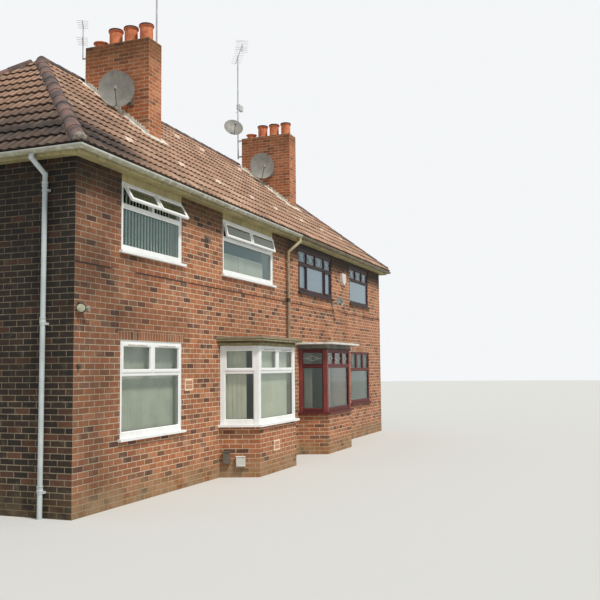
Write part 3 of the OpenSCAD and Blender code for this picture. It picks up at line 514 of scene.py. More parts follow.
slope_up = (0.0, -math.sin(pitch), math.cos(pitch))
pale_clay = mottled("vent_tile_clay", 0.8, (20.0, 4.0, 0.3, 0.7), (212, 180, 160), (238, 216, 196),
                    (150.0, 3.0), (0.4, 0.003))
hood = [(-0.07, 0.010), (-0.07, 0.045), (-0.03, 0.078), (0.00, 0.088), (0.03, 0.082), (0.075, 0.048),
        (0.08, 0.010)]
hood_half, low_course, high_course = 0.110, 1.10, 3.66
hoods = [(x, low_course) for x in (2.05, 3.73, 5.15, 6.74, 8.04, 9.72, 11.21, 12.80)]
hoods = np.array(hoods + [(x, high_course) for x in (7.04, 8.24, 10.34)])
ends = [on_front_slope(hoods[:, 0] + reach, hoods[:, 1]) for reach in (-hood_half, hood_half)]
vent_tiles = piece("vent_tiles", carry(hood, np.stack(ends, 1), slope_up), pale_clay, "ridge_tiles")
soft = vent_tiles.modifiers.new("worn edges", "BEVEL")
soft.width, soft.segments = 0.005, 2

# Hip and ridge tiles. Half-round clay tiles bedded end to end in mortar over the cut edges of
# the roof tiles, grey-brown with lichen; the bed shows as a rough seam along both sides.
ridge_clay, place = material("ridge_clay", Roughness=0.85)
lichen = place.noise(9.0, 6.0, 0.7)
clay = place.noise(3.4, 4.0).between(0.38, 0.62).pick((72, 63, 60), (124, 94, 84))
clay = (lichen.between(0.50, 0.66) * 0.55).pick(clay, (74, 70, 66))
clay = (place.noise(45.0, 3.0).between(0.6, 0.7) * 0.45).pick(clay, (150, 144, 128))
wire(ridge_clay, Base_Color=clay, Normal=(lichen + place.noise(130.0, 3.0) * 0.4).bump(0.6, 0.005))
dress(ridge_clay, "ridge_tiles", "hip_tiles")
bed_mortar = mottled("bed_mortar", 0.95, (14.0, 5.0, 0.35, 0.65), (70, 62, 54), (116, 106, 94),
                     (60.0, 5.0), (0.8, 0.006))
rng = np.random.default_rng(3)


def rounded(radius, sides):
    """The corners of a round: (r cos t, r sin t)."""
    turn = np.arange(sides) * 2 * np.pi / sides
    return np.stack([radius * np.cos(turn), radius * np.sin(turn)], -1)


def bead(first, last, count, radius, wander):
    """A rough round seam along a straight way: each point is moved by chance, a fifth as far at the
    ends as it is from a fifth of the way in."""
    t = np.linspace(0, 1, count)[:, None]
    way = np.asarray(first, float) * (1 - t) + np.asarray(last, float) * t
    way = way + rng.normal(0, wander, way.shape) * np.minimum(1, 4 * np.minimum(t, 1 - t) + 0.2)
    return carry(rounded(radius, 6), way, (0.0, 0.0, 1.0))


def flipped(points, to_right, to_back):
    """Points copied, and mirrored to the right end as row_l - x and to the back as row_d - y."""
    points = np.array(points, float)
    if to_right:
        points[..., 0] = row_l - points[..., 0]
    if to_back:
        points[..., 1] = row_d - points[..., 1]
    return points


four_hips = [(to_right, to_back) for to_right in (0, 1) for to_back in (0, 1)]
seam_r, seam_wander = 0.020, 0.004
hip_low, hip_high, reach = -0.13, row_d / 2 - 0.06, 0.105 * 0.707
ridge_reach = 0.112
beds = []
for flips in four_hips:
    for side in (-reach, reach):
        seam = [(at + side, at - side, tile_top(at - reach) + 0.012) for at in (hip_low, hip_high)]
        beds.append(bead(*flipped(seam, *flips), 70, seam_r, seam_wander))
for side in (-ridge_reach, ridge_reach):
    y, z = row_d / 2 + side, tile_top(row_d / 2 - ridge_reach) + 0.010
    beds.append(bead((row_d / 2, y, z), (row_l - row_d / 2, y, z), 110, seam_r, seam_wander))
piece("ridge_bed", beds, bed_mortar, "ridge_tiles", smooth=60)

# Mortar plugs. Sand and cement pressed into the open end of the lowest hip tile and struck off
# by hand, so that each is a rough half disc, r cos t by r sin t, that swells out of the tile.
down = -np.array([1.0, 1.0, math.tan(pitch)]) / math.sqrt(2 + math.tan(pitch) ** 2)
side = np.array([1.0, -1.0, 0.0]) / math.sqrt(2)
crown = np.cross(down, side)
crown = crown * np.sign(crown[2])
foot = np.array([-eaves_out, -eaves_out, tile_top(-eaves_out) - 0.005]) - 0.118 * down
turn = np.linspace(0.0, np.pi, 15)[:, None]
half_round = np.cos(turn) * side + np.sin(turn) * crown
plug_rows = ((0.102, -0.012), (0.107, 0.004), (0.094, 0.020), (0.060, 0.032), (0.020, 0.038))
plug = np.stack([foot + a * down + (r + rng.normal(0, 0.003, (15, 1))) * half_round for r, a in plug_rows])
plug_mortar = mottled("plug_mortar", 0.95, (18.0, 5.0, 0.35, 0.65), (118, 112, 102), (160, 152, 138),
                      (70.0, 5.0), (0.7, 0.006))
piece("hip_end_mortar", [flipped(plug, *flips) for flips in four_hips], plug_mortar, "ridge_tiles", smooth=50)

# Eaves. Softwood soffit and fascia boards in chalky olive-cream paint, stained where the gutters
# drip, and plastic half-round gutters held by straps screwed to the fascia: white on the left
# house, brown on the right one.


def painted(name, light, dark, dirt, rough=0.5, patch=3.0, streaks=0.4, speck=0.15, metal=0.0):
    """Paint or plastic: a slow mix of two tones, dirt that runs down in streaks and fine specks."""
    made, place = material(name, Metallic=metal)
    tone = place.noise(patch, 5.0, 0.6).between(0.35, 0.65).pick(light, dark)
    runs = place.stretched(1.0, 1.0, 0.12).noise(16.0, 4.0, 0.6).between(0.48, 0.72)
    tone = (runs * streaks).pick(tone, dirt)
    grit = place.noise(85.0, 4.0, 0.7)
    tone = (grit.between(0.58, 0.75) * speck).pick(tone, dirt)
    return wire(made, Base_Color=tone, Roughness=grit * 0.2 + (rough - 0.1) + runs * 0.12,
                Normal=(grit * 0.5 + runs * 0.3).bump(0.25, 0.002))


cream_board = painted("cream_board_paint", (178, 166, 118), (152, 142, 100), (86, 78, 54), 0.6, 2.0, 0.5, 0.3)
white_plastic = painted("white_plastic", (240, 241, 239), (230, 232, 229), (188, 187, 176), 0.4, 2.5,
                        0.10, 0.05)
# Painted shade: the end downpipe's white plastic is darker and bluer than the gutter's, with streaks of dirt.
pipe_plastic_painted_shade = painted("pipe_plastic_painted_shade", (196, 204, 204), (178, 188, 188), (134, 136, 126), 0.4, 2.5,
                       0.35, 0.12)
brown_plastic = painted("brown_plastic", (116, 104, 72), (94, 82, 56), (64, 56, 40), 0.45, 3.0, 0.3, 0.2)
gutter_plastic, place = material("gutter_plastic", Roughness=0.45)
film = place.stretched(1.0, 1.0, 0.15).noise(12.0, 4.0, 0.6)
aged = place.noise(2.0, 4.0).between(0.35, 0.65).pick((214, 216, 208), (192, 194, 184))
algae = place.parts()[2].between(4.765, 4.728) * film.between(0.25, 0.55) * 0.75
aged = (film.between(0.55, 0.75) * 0.4).pick(algae.pick(aged, (140, 134, 96)), (120, 116, 96))
wire(gutter_plastic, Base_Color=aged, Normal=film.bump(0.2, 0.002))
dress(cream_board, "soffit_boards", "fascia_boards")
dress(gutter_plastic, "gutter_white")
dress(pipe_plastic_painted_shade, "downpipe_white")
dress(brown_plastic, "gutter_brown")
gutter_z, gutter_out, gutter_r = 4.7627, 0.246, 0.056
strap_gap = 0.88
strap = [(-0.013, 0.0), (-0.013, 0.003), (0.013, 0.003), (0.013, 0.0)]


def straps(places, outward):
    """A flat strap under the gutter at each place: an arc, r cos t by r sin t of the gutter's outer
    radius, carried square to the eaves."""
    turn = np.radians(np.linspace(200, 340, 13))[:, None]
    arc = np.cos(turn) * np.array(outward + (0.0,)) + np.sin(turn) * np.array([0.0, 0.0, 1.0])
    ways = np.array([np.array([x, y, gutter_z]) + gutter_r * arc for x, y in places])
    return carry(strap, ways, np.broadcast_to(arc, ways.shape))


for colour, made, along, end_x, outward in (("white", gutter_plastic, (0.35, 7.5), -gutter_out, -1.0),
                                            ("brown", brown_plastic, (7.95, row_l), row_l + gutter_out, 1.0)):
    front_and_back, round_end = np.arange(*along, strap_gap), np.arange(0.3, row_d, strap_gap)
    piece(colour + "_gutter_straps", [straps([(x, -gutter_out) for x in front_and_back], (0.0, -1.0)),
                                      straps([(end_x, y) for y in round_end], (outward, 0.0)),
                                      straps([(x, row_d + gutter_out) for x in front_and_back], (0.0, 1.0))],
          made, colour + "_plastic", smooth=50)

# Downpipes. The end one is white plastic; the others are cast iron in olive-buff paint, with a
# collar at each joint and rust bleeding below it.
pipe_paint, place = material("pipe_paint", Roughness=0.55)
coat = place.noise(7.0, 5.0).between(0.35, 0.65).pick((168, 147, 118), (138, 119, 94))
coat = place.parts()[2].between(4.30, 4.55).pick(coat, (178, 164, 126))
rust = place.stretched(1.0, 1.0, 0.2).noise(22.0, 4.0).between(0.58, 0.72)
wire(pipe_paint, Base_Color=(rust * 0.7).pick(coat, (112, 66, 40)),
     Normal=(rust + place.noise(60.0)).bump(0.35, 0.003))
dress(pipe_paint, "downpipes_painted")
collar = np.array([(0.036, 0.0), (0.043, 0.004), (0.043, 0.016), (0.040, 0.020), (0.040, 0.058),
                   (0.043, 0.062), (0.043, 0.070), (0.036, 0.074)])


def collars(name, x, y, heights, made, slot):
    """The collar's profile (radius, height) turned about the pipe: (r cos t, r sin t, h)."""
    height = np.broadcast_to(collar[:, 1:, None], (8, 20, 1))
    ring = np.concatenate([collar[:, :1, None] * rounded(1.0, 20), height], 2)
    piece(name, np.array([(x, y, z) for z in heights])[:, None, None] + ring, made, slot, smooth=40)


dark_iron = painted("dark_iron", (58, 52, 44), (40, 36, 32), (92, 66, 48), 0.5, 6.0, 0.4, 0.2)
collars("iron_collars", 7.32, -0.060, (1.78, 3.30), dark_iron, "painted_iron")
collars("end_pipe_collars", -0.060, 0.445, (0.345, 2.505, 4.30), pipe_plastic_painted_shade, "white_plastic")

# Chimney stacks. The same bricks in thinner courses, sooty at the top, with lead dressed round
# the foot, a line of mortar where the tiles meet the lead, and fired clay pots with rolled rims
# bedded in mortar.
stack_x, stack_y, stack_w, stack_l = (4.20, 11.40), 1.503, 0.460, 1.430
stack_tops = (8.18, 8.28)
stack_rise = 0.075


def stack_weather(place, row_x, z, at_end):
    """Soot near the top, measured as if both stacks had one height and weaker on the right one, and
    broad darker patches."""
    top = z - row_x.between(7.0, 8.0) * (stack_tops[1] - stack_tops[0])
    dirty = place.noise(4.0, 4.0).between(0.2, 0.6) * 0.45 + 0.36
    by_house = row_x.between(10.5, 5.0).between(-1.2, 1.0)
    return [
        (top.between(7.45, 8.12) * dirty * by_house, (140, 140, 104)),
        (place.noise(3.0, 5.0).between(0.5, 0.75) * 0.5, (164, 146, 128)),
    ]


stack_bricks = [(0.0, (128, 80, 54)), (0.15, (170, 100, 62)), (0.5, (196, 118, 72)), (0.75, (180, 104, 64)),
                (1.0, (208, 138, 94))]
stack_brick = brickwork("stack_brick", stack_bricks, (214, 190, 160), stack_weather, rise=stack_rise,
                        bed=0.0062)
dress(stack_brick, "chimney_left", "chimney_right")
lead = painted("sheet_lead", (222, 225, 212), (192, 197, 184), (236, 238, 226), 0.55, 8.0, 0.5, 0.2)
dress(lead, "chimney_flashings")
pot_clay, place = material("pot_clay", Roughness=0.8)
x, _, z = place.parts()
rim = z - x.between(0.0, 1.0) * (stack_tops[1] - stack_tops[0]) - stack_tops[0]
clay = place.noise(9.0, 5.0).between(0.35, 0.65).pick((222, 136, 92), (196, 112, 74))
clay = clay.stain(place.stretched(1.0, 1.0, 0.25).noise(18.0, 4.0).between(0.5, 0.7) * 0.5, (150, 120, 104))
clay = clay.stain(rim.between(0.305, 0.33), (70, 58, 52))
wire(pot_clay, Base_Color=clay, Normal=place.noise(70.0, 4.0).bump(0.4, 0.003))
dress(pot_clay, "chimney_pots")
white_line = painted("flashing_mortar", (238, 232, 218), (212, 204, 188), (150, 140, 124), 0.9, 6.0, 0.3, 0.2)
line_r, line_wander = 0.032, 0.006


def beside_stack(x, y):
    """A place on the tiles beside a stack, 52 mm over their beds."""
    return (x, y, tile_top(y) + 0.052)


seams = []
for x in stack_x:
    for edge in (x - 0.115, x + stack_w + 0.115):
        seams.append(bead(beside_stack(edge, stack_y - 0.08), beside_stack(edge, stack_y + stack_l + 0.06),
                          40, line_r, line_wander))
    foot_line = [beside_stack(edge, stack_y - 0.09) for edge in (x - 0.13, x + stack_w + 0.13)]
    seams.append(bead(*foot_line, 12, line_r, line_wander))
piece("flashing_mortar", seams, white_line, "lead", smooth=60)

# Lead steps. Sheet lead on both sides of each stack, cut in steps and tucked into the bed joints.
# A step's top is the joint at a whole number of courses, and its end is where the slope, 100 mm
# below, has climbed to that joint.
step_under, step_out = 0.10, (0.001, 0.011)
first_joint = math.ceil((tile_top(stack_y) + step_under) / stack_rise)
last_joint = math.floor((tile_top(stack_y + stack_l) + step_under) / stack_rise)
tops = np.arange(first_joint, last_joint + 1) * stack_rise
ends_at = (tops - step_under - eaves_z) / math.tan(pitch)
starts_at = np.maximum(ends_at - stack_rise / math.tan(pitch), stack_y - 0.004)
side_y = np.stack([starts_at, ends_at, ends_at, starts_at], 1)
side_z = np.stack([tile_top(starts_at) + 0.03, tile_top(ends_at) + 0.03, tops, tops], 1)
steps = []
for x in stack_x:
    for face_x, way in ((x, -1), (x + stack_w, 1)):
        plate = [np.stack([np.full_like(side_y, face_x + way * out), side_y, side_z], -1) for out in step_out]
        steps.append(np.stack(plate, 1))
piece("lead_steps", steps, lead, "lead")

# Windows. Extruded plastic frames, white on the left house and mahogany-brown on the right, with
# mitred glazing beads snapped into them, closed top-hung sashes below and leaded top lights.
frame_w, rail_w, sill_t, reveal = 0.058, 0.078, 0.038, 0.012
upper_z, lower_z = 43 * course_h + sill_t, 10.75 * course_h + sill_t
upper = (upper_z, 0.997, 0.664)
lower = (lower_z, 28 * course_h - lower_z, 0.908)
narrow, wide = (1.060, 1.750), (4.290, 2.330)


def lights(span, height, low, top):
    """The clear openings of a frame as (x0, z0, x1, z1): a lower row, and a row over the transom.
    Each starts half a bar past its cut, a share of the width, or a whole frame in from the ends."""
    (x, w), (z, h, transom) = span, height
    half = frame_w / 2
    found = []
    for cuts, z0, z1 in ((low, z + rail_w, z + transom - half), (top, z + transom + half, z + h - frame_w)):
        starts = [x + frame_w] + [x + cut * w + half for cut in cuts[1:-1]]
        stops = [x + cut * w - half for cut in cuts[1:-1]] + [x + w - frame_w]
        found.append([(a, z0, b, z1) for a, b in zip(starts, stops)])
    return found


def handed(found):
    """The same openings on the other house: each x mirrored as 2 hand_x - x."""
    return [[(2 * hand_x - c, b, 2 * hand_x - a, d) for a, b, c, d in row] for row in found]


def outward(turn):
    """The way out of a wall face that runs at an angle: (sin t, -cos t)."""
    return (math.sin(turn), -math.cos(turn), 0.0)


def ring(profile, rects, origin=(0.0, reveal), turn=0.0):
    """A profile carried round each opening with mitred corners, on a face that starts at origin
    and runs at an angle; across is outwards from the opening, out is towards the street."""
    rects = np.asarray(rects, float)
    a = rects[:, [0, 2, 2, 0]]
    z = rects[:, [1, 1, 3, 3]]
    way = np.stack([origin[0] + a * math.cos(turn), origin[1] + a * math.sin(turn), z], -1)
    return carry(profile, way, outward(turn), loop=True)


bead_shape = [(0.0, -0.003), (-0.003, -0.003), (-0.014, -0.014), (-0.014, -0.024), (0.0, -0.024)]
sash_shape = [(0.015, 0.0), (0.015, 0.009), (0.011, 0.012), (-0.022, 0.012), (-0.030, 0.006),
              (-0.034, -0.010), (-0.034, -0.0242), (0.0, -0.0242), (0.0, 0.0)]
whole, halves, thirds = (0, 1), (0, 0.5, 1), (0, 1 / 3, 2 / 3, 1)
casements, quarters = (0, 0.235, 0.755, 1), (0, 0.235, 0.5, 0.755, 1)
fixed = [lights(span, height, whole, halves)[0][0] for span, height in
         ((narrow, upper), (wide, upper), (narrow, lower))]
white_vents = lights(narrow, lower, whole, halves)[1]
brown_narrow_up = handed(lights(narrow, upper, whole, thirds))
brown_wide_up = handed(lights(wide, upper, casements, quarters))
brown_narrow_low = handed(lights(narrow, lower, whole, thirds))
dress(white_plastic, "windows_white", "windows_back", "bay_left_window")
piece("white_beads", ring(bead_shape, fixed), white_plastic, "white_plastic", loop=True)
piece("white_sashes", ring(sash_shape, white_vents), white_plastic, "white_plastic", loop=True)

mahogany, place = material("mahogany_foil", Specular_IOR_Level=0.25)
grain = place.stretched(3.0, 3.0, 3.0).noise(14.0, 6.0, 0.65)
streak = place.stretched(2.0, 2.0, 26.0).noise(5.0, 4.0)
z = place.parts()[2]
figure = (grain * 0.6 + streak * 0.4).between(0.38, 0.64)
# Painted light and shade: the foil is darker above 3 m and redder and brighter below, as where it is lit; the
# head boards over the upper windows, from 4.58 m, are near black, a painted shadow of the eaves.
wood = figure.pick((34, 24, 26), (68, 37, 35))
wood = z.between(3.0, 2.8).pick(wood, figure.pick((72, 32, 30), (108, 46, 42)))
wood = (z.between(4.57, 4.59) * 0.9).pick(wood, (30, 26, 26))
wire(mahogany, Base_Color=wood, Roughness=0.42 + grain * 0.25, Normal=streak.bump(0.25, 0.002))
dress(mahogany, "windows_mahogany", "bay_right_window")
leaded = brown_narrow_up[1] + brown_wide_up[1] + brown_narrow_low[1]
brown_fixed = brown_narrow_up[0] + brown_wide_up[0][1:2] + brown_narrow_low[0] + leaded
brown_sashes = brown_wide_up[0][0:1] + brown_wide_up[0][2:3]
piece("mahogany_beads", ring(bead_shape, brown_fixed), mahogany, "mahogany", loop=True)
piece("mahogany_sashes", ring(sash_shape, brown_sashes), mahogany, "mahogany", loop=True)

# Open vents. Small top-hung sashes of white plastic in the upper windows of the left house, hung
# from the head of the frame and held ajar by a steel friction stay at each side.
vent_h, vent_rim = upper[1] - upper[2] - frame_w, 0.040
vent_frame = [(0.0, 0.0), (0.0, 0.034), (-0.005, 0.040), (-0.036, 0.042), (-0.046, 0.030), (-0.046, 0.012),
              (-0.040, 0.0)]


def hung(grid, degrees, hinge_z):
    """Turns points about the hinge line, bottom outwards: y cos a + h sin a and h cos a - y sin a."""
    a, y, h = math.radians(degrees), grid[..., 1] - reveal, grid[..., 2] - hinge_z
    turned_y, turned_h = y * math.cos(a) + h * math.sin(a), h * math.cos(a) - y * math.sin(a)
    return np.stack([grid[..., 0], reveal + turned_y, hinge_z + turned_h], -1)


hinge_z = upper[0] + upper[1] - frame_w + 0.008
vent_frames, vent_glass, stays = [], [], []
for span, degrees in ((narrow, 31), (wide, 12)):
    for x0, _, x1, _ in lights(span, upper, whole, halves)[1]:
        outer = (x0 - 0.012, hinge_z - vent_h, x1 + 0.012, hinge_z)
        vent_frames.append(hung(ring(vent_frame, [outer]), degrees, hinge_z))
        a0, z0, a1, z1 = outer[0] + vent_rim, outer[1] + vent_rim, outer[2] - vent_rim, outer[3] - vent_rim
        slab = np.array([[(a0, y, z0), (a1, y, z0), (a1, y, z1), (a0, y, z1)]
                         for y in (reveal - 0.030, reveal - 0.014)])
        vent_glass.append(hung(slab, degrees, hinge_z))
        for x in (x0 + 0.01, x1 - 0.01):
            foot = hung(np.array([x, reveal - 0.004, hinge_z - vent_h + 0.03]), degrees, hinge_z)
            stays.append([(x, reveal + 0.01, hinge_z - vent_h * 0.35), foot])
vents = piece("vent_sashes", vent_frames, white_plastic, "white_plastic", loop=True)
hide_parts("open_vents")
steel = painted("stay_steel", (150, 150, 148), (120, 120, 118), (90, 84, 76), 0.35, 8.0, 0.2, 0.1, metal=0.8)
stay_bar = [(-0.006, -0.0015), (0.006, -0.0015), (0.006, 0.0015), (-0.006, 0.0015)]
piece("vent_stays", carry(stay_bar, stays, (1.0, 0.0, 0.0)), steel, "aerial_metal")

# Glass. Clear sealed units in black gaskets, which mirror the pale sky at a slant; the rooms behind
# are dim. The mahogany top lights have lead cames soldered into small panes.


def glazing(name, tint, see_through, mirror, right_house=0.0, right_painted_reflection=None):
    """A dim pane, more opaque on the right house, where a second tint, when given, paints in a
    reflection of the sky; mixed with a mirror by 0.07 + 1.5 times the slant to the power 5, at most
    0.9: the share that both faces of a pane send back. The mirror's own colour paints a green-blue
    tint into what it reflects."""
    made, place = material(name, Roughness=0.06, Base_Color=srgb(*tint))
    hand = place.parts()[0].between(-0.20, -0.12)
    wire(made, Alpha=hand * right_house + see_through, Base_Color=hand.pick(tint, right_painted_reflection or tint))
    tree = made.node_tree
    pane = tree.nodes["Principled BSDF"]
    shine = tree.nodes.new("ShaderNodeBsdfPrincipled")
    for socket, value in {"Base Color": srgb(*mirror), "Metallic": 1.0, "Roughness": 0.05}.items():
        shine.inputs[socket].default_value = value
    blend = tree.nodes.new("ShaderNodeMixShader")
    slant = place.node("LayerWeight", {"Blend": 0.5}, out="Facing").sum("POWER", 5.0) * 1.5 + 0.07
    tree.links.new(slant.sum("MINIMUM", 0.9).socket, blend.inputs[0])
    tree.links.new(pane.outputs[0], blend.inputs[1])
    tree.links.new(shine.outputs[0], blend.inputs[2])
    tree.links.new(blend.outputs[0], tree.nodes["Material Output"].inputs["Surface"])
    tree.links.new(place.noise(1.6, 2.0).bump(0.05, 0.01).socket, shine.inputs["Normal"])
    return made


upper_glass = glazing("upper_glass", (58, 84, 78), 0.12, (168, 192, 192), 0.50, (120, 138, 156))
lower_glass = glazing("lower_glass", (48, 52, 44), 0.08, (166, 182, 174), 0.22)
dress(upper_glass, "glass_upper")
dress(lower_glass, "glass_lower", "glass_back")
piece("vent_panes", vent_glass, glazing("vent_glass", (74, 80, 64), 0.62, (150, 158, 140)), "glass")
black_rubber = painted("black_rubber", (34, 34, 34), (26, 26, 26), (60, 60, 58), 0.6)
gasket_shape = [(-0.013, -0.0205), (-0.018, -0.0215), (-0.018, -0.0242), (-0.013, -0.0242)]
piece("gaskets", ring(gasket_shape, fixed + brown_fixed), black_rubber, "black_plastic", loop=True)
came = [(-0.004, -0.002), (0.004, -0.002), (0.004, 0.002), (-0.004, 0.002)]
came_y, came_gap = reveal + 0.021, 0.03


def diamond(x, z, wide, high):
    """The four lines of a diamond round a middle: to x - wide and x + wide, z - high and z + high."""
    knots = [(x - wide, z), (x, z + high), (x + wide, z), (x, z - high)]
    return [(knots[k], knots[(k + 1) % 4]) for k in range(4)]


cames = []
for x0, z0, x1, z1 in leaded:
    mid_x, mid_z = (x0 + x1) / 2, (z0 + z1) / 2
    lines = [((x0 + k * (x1 - x0), z0 + came_gap), (x0 + k * (x1 - x0), z1 - came_gap)) for k in (0.25, 0.75)]
    lines.append(((x0 + came_gap, mid_z), (x1 - came_gap, mid_z)))
    lines += diamond(mid_x, mid_z, (x1 - x0) / 2 - came_gap, (z1 - z0) / 2 - came_gap)
    cames += [[(x, came_y, z) for x, z in line] for line in lines]
dark_lead = painted("dark_lead", (78, 84, 92), (56, 62, 70), (110, 114, 116), 0.5, 20.0, 0.3, 0.1)
piece("lead_cames", carry(came, cames, (0.0, -1.0, 0.0)), dark_lead, "lead")

# Blinds. Stiff fabric slats hung upright in the narrow windows of the left house and in the bays,
# and plain roller blinds in the wide room upstairs, all a hand's width behind the glass.


def slats(first, last, z0, z1, width, spacing, degrees):
    """Thin upright strips in a row from one place to another, each turned by the same angle a:
    a strip faces along cos a times the row's square and sin a times the row."""
    first, last = np.array(first, float), np.array(last, float)
    way = (last - first) / np.linalg.norm(last - first)
    t = np.arange(spacing / 2, np.linalg.norm(last - first), spacing)[:, None]
    ways = np.stack([np.hstack([first + t * way, np.full_like(t, z)]) for z in (z0, z1)], 1)
    a = math.radians(degrees)
    strip = [(-width / 2, 0.0), (-width / 6, 0.003), (width / 6, 0.003), (width / 2, 0.0),
             (width / 6, 0.0015), (-width / 6, 0.0015)]
    facing = way[::-1] * (1, -1) * math.cos(a) + way * math.sin(a)
    return carry(strip, ways, (facing[0], facing[1], 0.0))


def panel(x0, x1, y, z0, z1):
    """A flat blind with a bar in its hem: half its depth is 1.5 mm, and 8 mm round the bar."""
    z = np.array([z0, z0 + 0.012, z0 + 0.024, z0 + 0.03, z1])
    swell = np.array([0.003, 0.008, 0.008, 0.0015, 0.0015])
    z, y = np.append(z, z[::-1]), y + np.append(-swell, swell[::-1])
    return np.stack([np.stack([np.full(10, x), y, z], -1) for x in np.linspace(x0, x1, 9)])


def fabric(name, light, dark):
    """Woven cloth: a slow mix of two tones, shaded and raised by the noise of its weave."""
    made, place = material(name, Roughness=0.9)
    weave = place.noise(160.0, 2.0)
    tone = place.noise(3.0, 3.0).between(0.35, 0.65).pick(light, dark)
    return wire(made, Base_Color=tone.stain(weave.between(0.4, 0.7) * 0.3, (190, 190, 184)),
                Normal=weave.bump(0.3, 0.001))


green_cloth = fabric("green_cloth", (196, 214, 188), (176, 194, 168))
grey_cloth = fabric("grey_cloth", (200, 208, 188), (184, 192, 174))
roller_cloth = fabric("roller_cloth", (226, 228, 204), (208, 212, 188))
piece("upper_slats", slats((1.13, 0.165), (2.80, 0.165), 3.62, 4.62, 0.074, 0.087, 16), green_cloth,
      "white_plastic")
piece("lower_slats", slats((1.13, 0.150), (2.80, 0.150), 0.96, 2.28, 0.089, 0.080, -7), grey_cloth,
      "white_plastic")
piece("wide_blinds", [panel(4.36, 5.24, 0.15, 3.63, 4.02), panel(5.26, 6.40, 0.15, 3.63, 4.02)], roller_cloth,
      "white_plastic")

# Bays. Canted brick bases under plastic windows, with flat roofs of mineral felt dressed over a
# timber deck; the left one is edged with olive-painted board, the right one thinly in grey-white.
bay_base, bay_head, deck_z, felt_z = 0.870, 2.290, 2.410, 2.422
# Each bay's place, front width, depth, run of a slanted face, transom height and roof overhang.
bay_shapes = {"left": (4.150, 1.760, 0.660, 0.240, 0.925, 0.110),
              "right": (8.020, 1.700, 0.600, 0.220, 1.020, 0.190)}


def bay_corners(bay, grow):
    """The four corners of a bay's plan moved out by a distance, from left to right: a slanted face
    moves its foot by grow / sin(slant) and its front corner back by grow / tan(slant)."""
    x, w, out, splay = bay_shapes[bay][:4]
    slant = math.atan2(out, splay)
    side, back = grow / math.sin(slant), grow / math.tan(slant)
    left, right = x + splay - side + back, x + w + splay + side - back
    return np.array([(x - side, 0), (left, -out - grow), (right, -out - grow), (x + w + 2 * splay + side, 0)])


def bay_faces(bay, front_top):
    """For each of the three faces: where it starts, its turn and its fixed and top openings."""
    points, found = bay_corners(bay, -0.022), []
    height = (bay_base + 0.040, bay_head - bay_base - 0.040, bay_shapes[bay][4])
    for i in range(3):
        step = points[i + 1] - points[i]
        rows = lights((0.0, float(np.hypot(*step))), height, whole, front_top if i == 1 else whole)
        found.append((tuple(points[i]), math.atan2(step[1], step[0]), rows))
    return found


for bay, deck, light, dark, rim_tone in (
        ("left", (118, 106, 78), (128, 120, 96), (104, 94, 74), (148, 136, 110)),
        ("right", (130, 128, 118), (212, 209, 196), (184, 181, 170), (236, 232, 222))):
    felt, place = material(bay + "_felt", Roughness=0.95)
    upright = place.node("NewGeometry", out="True Normal").parts()[2].size().between(0.7, 0.5)
    grit = place.noise(260.0, 3.0, 0.8)
    top_tone = place.noise(5.0, 5.0).between(0.35, 0.65).pick(light, dark)
    top_tone = top_tone.stain(grit.between(0.4, 0.7) * 0.5, (164, 160, 148))
    top_tone = (place.noise(11.0, 5.0).between(0.55, 0.7) * 0.4).pick(top_tone, (100, 100, 66))
    edge_tone = place.noise(9.0, 4.0).between(0.3, 0.7).pick(rim_tone, dimmed(rim_tone, 0.86))
    deck_tone = place.noise(3.0, 4.0).between(0.4, 0.6).pick(deck, dimmed(deck, 0.84))
    over_deck = place.parts()[2].between(deck_z - 0.005, deck_z + 0.005)
    wire(felt, Base_Color=over_deck.pick(deck_tone, upright.pick(top_tone, edge_tone)),
         Normal=(grit * 0.6).bump(0.5, 0.003))
    dress(felt, "bay_" + bay + "_roof")
# Painted light: the right bay's cover boards, mahogany foil like its frames, are a brighter red, as where the
# sun falls on them.
red_post_painted_lit = painted("red_post_painted_lit", (132, 50, 46), (112, 42, 38), (80, 34, 30), 0.5, 6.0, 0.4, 0.2)
edge_board, place = material("edge_board", Roughness=0.85)
z = place.parts()[2]
worn = place.stretched(1.0, 1.0, 3.0).noise(7.0, 5.0).between(0.35, 0.65)
tone = worn.pick((158, 150, 112), (128, 120, 86))
# Painted shadow: a near-black band at the top of the drip's skirt, under the felt's welt.
tone = z.band(2.397, 2.412, 0.002).pick(tone, (38, 34, 28))
tone = z.between(felt_z - 0.002, felt_z + 0.002).pick(tone, worn.pick((156, 143, 116), (124, 113, 90)))
wire(edge_board, Base_Color=tone, Normal=place.noise(90.0, 4.0).bump(0.4, 0.003))
pale_edge = painted("pale_edge", (222, 218, 208), (196, 192, 180), (120, 116, 104), 0.6, 5.0, 0.4, 0.2)
shadow_board = painted("shadow_board", (58, 52, 44), (44, 40, 34), (30, 28, 24), 0.8)
cover = 0.024
half_cover = (frame_w + cover) / 2
cover_board = [(-half_cover, -0.002), (-half_cover, 0.007), (-half_cover + 0.003, 0.010),
               (half_cover - 0.003, 0.010), (half_cover, 0.007), (half_cover, -0.002)]
skirt_top = -0.0005
welt = [(-0.040, 0.0305), (-0.003, 0.0305), (-0.003, 0.036), (-0.008, 0.040), (-0.034, 0.038)]
slot_hood = [(-0.010, 0.0), (-0.010, 0.006), (-0.007, 0.009), (-0.004, 0.006), (-0.001, 0.009),
             (0.002, 0.006), (0.005, 0.009), (0.010, 0.005), (0.010, 0.0)]


def on_face(a, z, out, origin=(0.0, reveal), turn=0.0):
    """A point of a wall face: a along it, z up and out towards the street, as a cos t + out sin t
    and a sin t - out cos t from its origin."""
    return [origin[0] + a * math.cos(turn) + out * math.sin(turn),
            origin[1] + a * math.sin(turn) - out * math.cos(turn), z]


